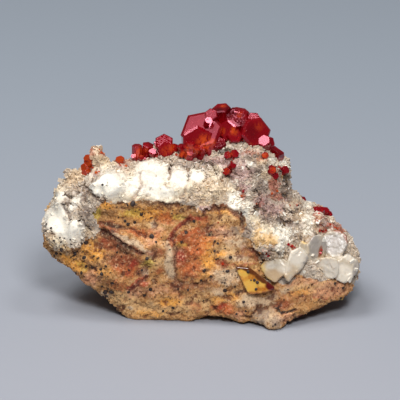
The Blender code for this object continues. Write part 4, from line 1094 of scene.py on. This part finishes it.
def flake_material():
    made, nodes = new_material("white_baryte_flakes", "baryte")
    cloud = nodes.noise(nodes.place(), 0.8, 2.0, 0.6)
    colour = nodes.mix(cloud.smooth(0.35, 0.65), srgb(206, 192, 174), srgb(232, 226, 212))
    nodes.surface(Base_Color=colour, Roughness=0.4, IOR=1.64, Subsurface_Weight=0.2,
                  Subsurface_Radius=(1.0, 0.9, 0.8), Subsurface_Scale=0.3 * MM)
    return made


class SPECIMEN_OT_specks(bpy.types.Operator):
    """Strew the black specks and set the tiny red crystals and white flakes"""

    bl_idname = "specimen.specks"
    bl_label = "Specks, seeds and flakes"

    def execute(self, context):
        black, chance = speck_material(), random.Random(SPECK_SEED)
        strew(("black_dust",), black)
        warm = vanadinite_material("seed_vanadinite", srgb(196, 18, 30), srgb(250, 120, 50), 0.1, "warmth")
        front = ("rock_and_crust", "milky_blades")
        for name, carriers, spots, swell, add, finish in (
                ("black_specks", front[:1], SPECKS, SPECK_SWELL, add_speck, black),
                ("amber_specks", ("amber_lens",), AMBER_SPECKS, SPECK_SWELL, add_speck, black),
                ("red_seeds", front, SEEDS, 1, add_seed, warm),
                ("white_flakes", front, FLAKES, 1, add_flake, flake_material())):
            skins = [skin_of(carrier) for carrier in carriers]
            bm = bmesh.new()
            if add is add_seed:
                bm.verts.layers.float.new("warmth")
            for column, row, reach, *warmth in spots:
                spot = shown_on(skins, column, row)
                if spot:
                    add(bm, *spot, reach * swell * PIXEL, chance, *warmth)
            bmesh.ops.recalc_face_normals(bm, faces=bm.faces)
            give(made_of(bm, name), finish)
        return {"FINISHED"}


# Distance between the points of the blades' skins, and the blades' looks in the front view: colour and
# patches, as above.
BLADE_PITCH, AMBER_PITCH = 0.18 * MM, 0.14 * MM
BLADE_LAYERS = {
    "warm": (srgb(204, 174, 136), ((275, 277, 14, 8, 0, 0.9), (262, 262, 8, 5, 0, 0.8), (302, 275, 12, 6, 0, 0.7),
                                   (325, 262, 8, 10, 0, 0.7), (345, 250, 6, 8, 30, 0.6), (290, 270, 10, 8, 0, 0.5))),
    "honey": (srgb(232, 196, 124), ((258, 268, 7, 8, -40, 1), (266, 281, 6, 4, 0, 0.8), (305, 241, 4, 3, 0, 0.8))),
    "milk": (srgb(232, 220, 202), ((297, 256, 10, 9, 0, 0.9), (284, 268, 9, 7, 0, 0.6), (343, 273, 11, 10, 0, 1),
                                   (328, 268, 12, 10, 0, 1.0), (350, 256, 8, 6, 30, 0.9), (272, 266, 8, 4, 0, 0.6))),
    "ash": (srgb(172, 162, 152), ((315, 246, 7, 16, 0, 0.8), (334, 244, 14, 11, 0, 1), (306, 262, 4, 8, 0, 0.6),
                                  (346, 244, 5, 12, 0, 0.8), (357, 272, 4, 12, 0, 1), (281, 254, 8, 3, 0, 0.7))),
    "pearl": (srgb(200, 184, 176), ((335, 242, 8, 6, 0, 0.4), (330, 250, 6, 5, 0, 0.4), (310, 236, 5, 5, 0, 0.7))),
    "rusty": (srgb(150, 88, 60), ((338, 230, 12, 3, 14, 0.9), (320.5, 252, 1.8, 6, 8, 1),
                                  (347, 238, 2.5, 8, -20, 0.7), (268, 256, 7, 3, 0, 0.7),
                                  (274, 285, 6, 3, 0, 0.7), (296, 277, 5, 3, -40, 0.8))),
}
AMBER_LAYERS = {
    "gold": (srgb(236, 184, 84), ((243, 272, 7, 5, 20, 0.9), (250, 286, 8, 6, 0, 1), (262, 284, 5, 4, 0, 0.8))),
    "flame": (srgb(214, 104, 28), ((258, 293, 14, 3.2, -8, 1), (250, 274, 8, 4, 30, 0.8), (268, 288, 6, 4, 0, 0.8))),
    "umber": (srgb(104, 54, 20), ((248, 269, 14, 3.4, 30, 1), (262, 279, 9, 3.4, 32, 1), (236, 267, 6, 3, 0, 0.9))),
    "ruby": (srgb(96, 16, 14), ((271, 286.5, 6, 4, 10, 1), (276, 288, 5, 3, 0, 1))),
}


def paint_layers(piece, layers):
    """The masks of some named looks at the points of a piece."""
    points = points_of(piece.data)
    columns, rows = photo_places(points)
    columns = columns + 1.2 * lumps(points, 1.2 * MM, 51)
    rows = rows + 1.2 * lumps(points, 1.2 * MM, 52)
    for name, (_, patches) in layers.items():
        put_mask(piece.data, name, np.max([in_patch(columns, rows, patch) for patch in patches], axis=0))


def layered(nodes, colour, layers, ragged, reach):
    """A colour with the named looks laid over it, their edges made ragged by a noise."""
    for name, (over, _) in layers.items():
        share = (nodes.attribute(name) + (ragged - 0.5) * reach).smooth(0.2, 0.8)
        colour = nodes.mix(share, colour, over)
    return colour


def baryte_material():
    made, nodes = new_material("milky_baryte", "baryte")
    place = nodes.place()
    cloud = nodes.noise(place, 2.0, 3.0, 0.55)
    fine = nodes.noise(place, 0.5, 3.0, 0.65)
    colour = nodes.mix(cloud.smooth(0.4, 0.65), srgb(200, 184, 160), srgb(220, 206, 184))
    colour = layered(nodes, colour, BLADE_LAYERS, cloud * 0.5 + fine * 0.5, 0.8)
    colour = nodes.mix(fine.smooth(0.55, 0.75) * 0.4, colour, srgb(226, 216, 202))
    nodes.surface(
        Base_Color=colour, Roughness=0.3 + fine.smooth(0.4, 0.8) * 0.3, IOR=1.64,
        Normal=nodes.bump(fine, 0.2, 0.08 * MM), Transmission_Weight=0.18, Subsurface_Weight=0.3,
        Subsurface_Radius=(1.0, 0.9, 0.75), Subsurface_Scale=0.7 * MM)
    return made


def amber_material():
    made, nodes = new_material("amber_baryte_blade", "amber_baryte")
    cloud = nodes.noise(nodes.place(), 0.8, 3.0, 0.6)
    colour = nodes.mix(cloud.smooth(0.4, 0.65), srgb(188, 112, 38), srgb(222, 156, 64))
    colour = layered(nodes, colour, AMBER_LAYERS, cloud, 0.5)
    nodes.surface(
        Base_Color=colour, Roughness=0.14, IOR=1.64, Transmission_Weight=0.25, Subsurface_Weight=0.25,
        Subsurface_Radius=(1.0, 0.6, 0.3), Subsurface_Scale=0.6 * MM)
    return made


class SPECIMEN_OT_blades(bpy.types.Operator):
    """Make the milky baryte blades and the amber one"""

    bl_idname = "specimen.blades"
    bl_label = "Baryte blades"

    def execute(self, context):
        blades = remeshed(node_copy("baryte_blades", "milky_blades"), BLADE_PITCH, 2)
        points, normals = points_of(blades.data), normals_of(blades.data)
        rise = 0.13 * MM * facets(points, 1.6 * MM, 31) + 0.03 * MM * facets(points, 0.7 * MM, 32)
        rise = np.clip(rise, -0.4 * MM, 0.3 * MM)
        put_points(blades.data, points + normals * rise[:, None])
        paint_layers(blades, BLADE_LAYERS)
        give(blades, baryte_material(), "baryte_blades")
        amber = remeshed(node_copy("amber_blade", "amber_lens"), AMBER_PITCH, 4)
        paint_layers(amber, AMBER_LAYERS)
        give(amber, amber_material(), "amber_blade")
        for piece in (blades, amber):
            piece.data.shade_smooth()
        return {"FINISHED"}


# The studio: each light's place, size and power in watts, the place that they all face, the strength of the light
# from all round, and how far back the floor's colour changes, a painted fall-off of the light across the floor.
LIGHTS = {
    "left_overhead": ((-0.15, -0.045, 0.48), (0.22, 0.25), 1.55),
    "right_overhead": ((0.145, -0.035, 0.48), (0.1, 0.1), 0.45),
    "front": ((0.06, -0.415, 0.425), (0.15, 0.14), 2.6),
    "card": ((-0.13, -0.33, 0.49), (0.3, 0.26), 0.45),
}
LIT_PLACE = Vector((0, 0, 0.02))
SKY_STRENGTH = 0.11
PAINTED_FLOOR_FADE = (-0.06, 0.15)


def soft_light(name, place, size, power):
    lamp = bpy.data.lights.new(name, "AREA")
    lamp.shape = "RECTANGLE"
    lamp.size, lamp.size_y = size
    lamp.energy = power
    aimed(link(bpy.data.objects.new(name, lamp)), Vector(place), LIT_PLACE - Vector(place))


def aimed(thing, place, way):
    """Puts a light or the camera at a place, facing one way."""
    thing.location = place
    thing.rotation_mode = "QUATERNION"
    thing.rotation_quaternion = way.to_track_quat("-Z", "Y")
    return thing


class SPECIMEN_OT_stage(bpy.types.Operator):
    """Lay the floor, hang the lights and set the camera"""

    bl_idname = "specimen.stage"
    bl_label = "Floor, light and camera"

    def execute(self, context):
        settings = context.scene.specimen_stage
        bm = bmesh.new()
        bmesh.ops.create_grid(bm, x_segments=1, y_segments=1, size=2.5)
        floor = made_of(bm, "floor")
        made, nodes = new_material("pale_floor", "")
        # Painted light: the floor's colour changes from near to far, standing in for how the light falls off across
        # it.
        back = nodes.add("ShaderNodeSeparateXYZ", None, {0: nodes.place()}, 1)
        colour = nodes.mix(back.smooth(*PAINTED_FLOOR_FADE), settings_colour(settings, "floor"),
                           settings_colour(settings, "floor_far"))
        nodes.surface(Base_Color=colour, Roughness=0.7)
        floor.data.materials.append(made)
        world = bpy.data.worlds.new("surroundings")
        world.use_nodes = True
        sky = world.node_tree.nodes["Background"].inputs
        sky[0].default_value = (*settings_colour(settings, "sky"), 1)
        sky[1].default_value = SKY_STRENGTH
        context.scene.world = world
        for name, (place, size, power) in LIGHTS.items():
            soft_light(name, place, size, power)
        context.scene.view_settings.view_transform = "Standard"
        camera = bpy.data.cameras.new("camera")
        camera.lens, camera.sensor_width = LENS, SENSOR
        camera.clip_start, camera.clip_end = 0.1, 10.0
        middle = photo_ray(PHOTO_SIDE / 2, PHOTO_SIDE / 2) + LOOK * STAND_OFF
        away = PHOTO_SIDE * PIXEL * LENS / SENSOR
        holder = link(bpy.data.objects.new("camera", camera))
        context.scene.camera = aimed(holder, middle - LOOK * away, LOOK)
        return {"FINISHED"}


class SPECIMEN_PT_panel(bpy.types.Panel):
    """The specimen's pieces and their settings"""

    bl_label = "Vanadinite specimen"
    bl_idname = "SPECIMEN_PT_panel"
    bl_space_type = "VIEW_3D"
    bl_region_type = "UI"
    bl_category = "Specimen"

    def draw(self, context):
        for operator, group in PIECES.items():
            box = self.layout.box()
            box.operator(operator.bl_idname)
            if group:
                held = getattr(context.scene, group)
                for name in held.__annotations__:
                    box.prop(held, name)


PIECES = {
    SPECIMEN_OT_rock: "specimen_rock",
    SPECIMEN_OT_grains: None,
    SPECIMEN_OT_crystals: "specimen_crystals",
    SPECIMEN_OT_blades: None,
    SPECIMEN_OT_specks: None,
    SPECIMEN_OT_stage: "specimen_stage",
}
SETTINGS = {
    "specimen_rock": SPECIMEN_PG_rock,
    "specimen_crystals": SPECIMEN_PG_crystals,
    "specimen_stage": SPECIMEN_PG_stage,
}


def register():
    for group in SETTINGS.values():
        bpy.utils.register_class(group)
    for name, group in SETTINGS.items():
        setattr(bpy.types.Scene, name, PointerProperty(type=group))
    for operator in PIECES:
        bpy.utils.register_class(operator)
    bpy.utils.register_class(SPECIMEN_PT_panel)


def unregister():
    bpy.utils.unregister_class(SPECIMEN_PT_panel)
    for operator in PIECES:
        bpy.utils.unregister_class(operator)
    for name, group in SETTINGS.items():
        delattr(bpy.types.Scene, name)
        bpy.utils.unregister_class(group)


def main():
    register()
    for operator in PIECES:
        family, name = operator.bl_idname.split(".")
        getattr(getattr(bpy.ops, family), name)()


if __name__ == "__main__":
    main()
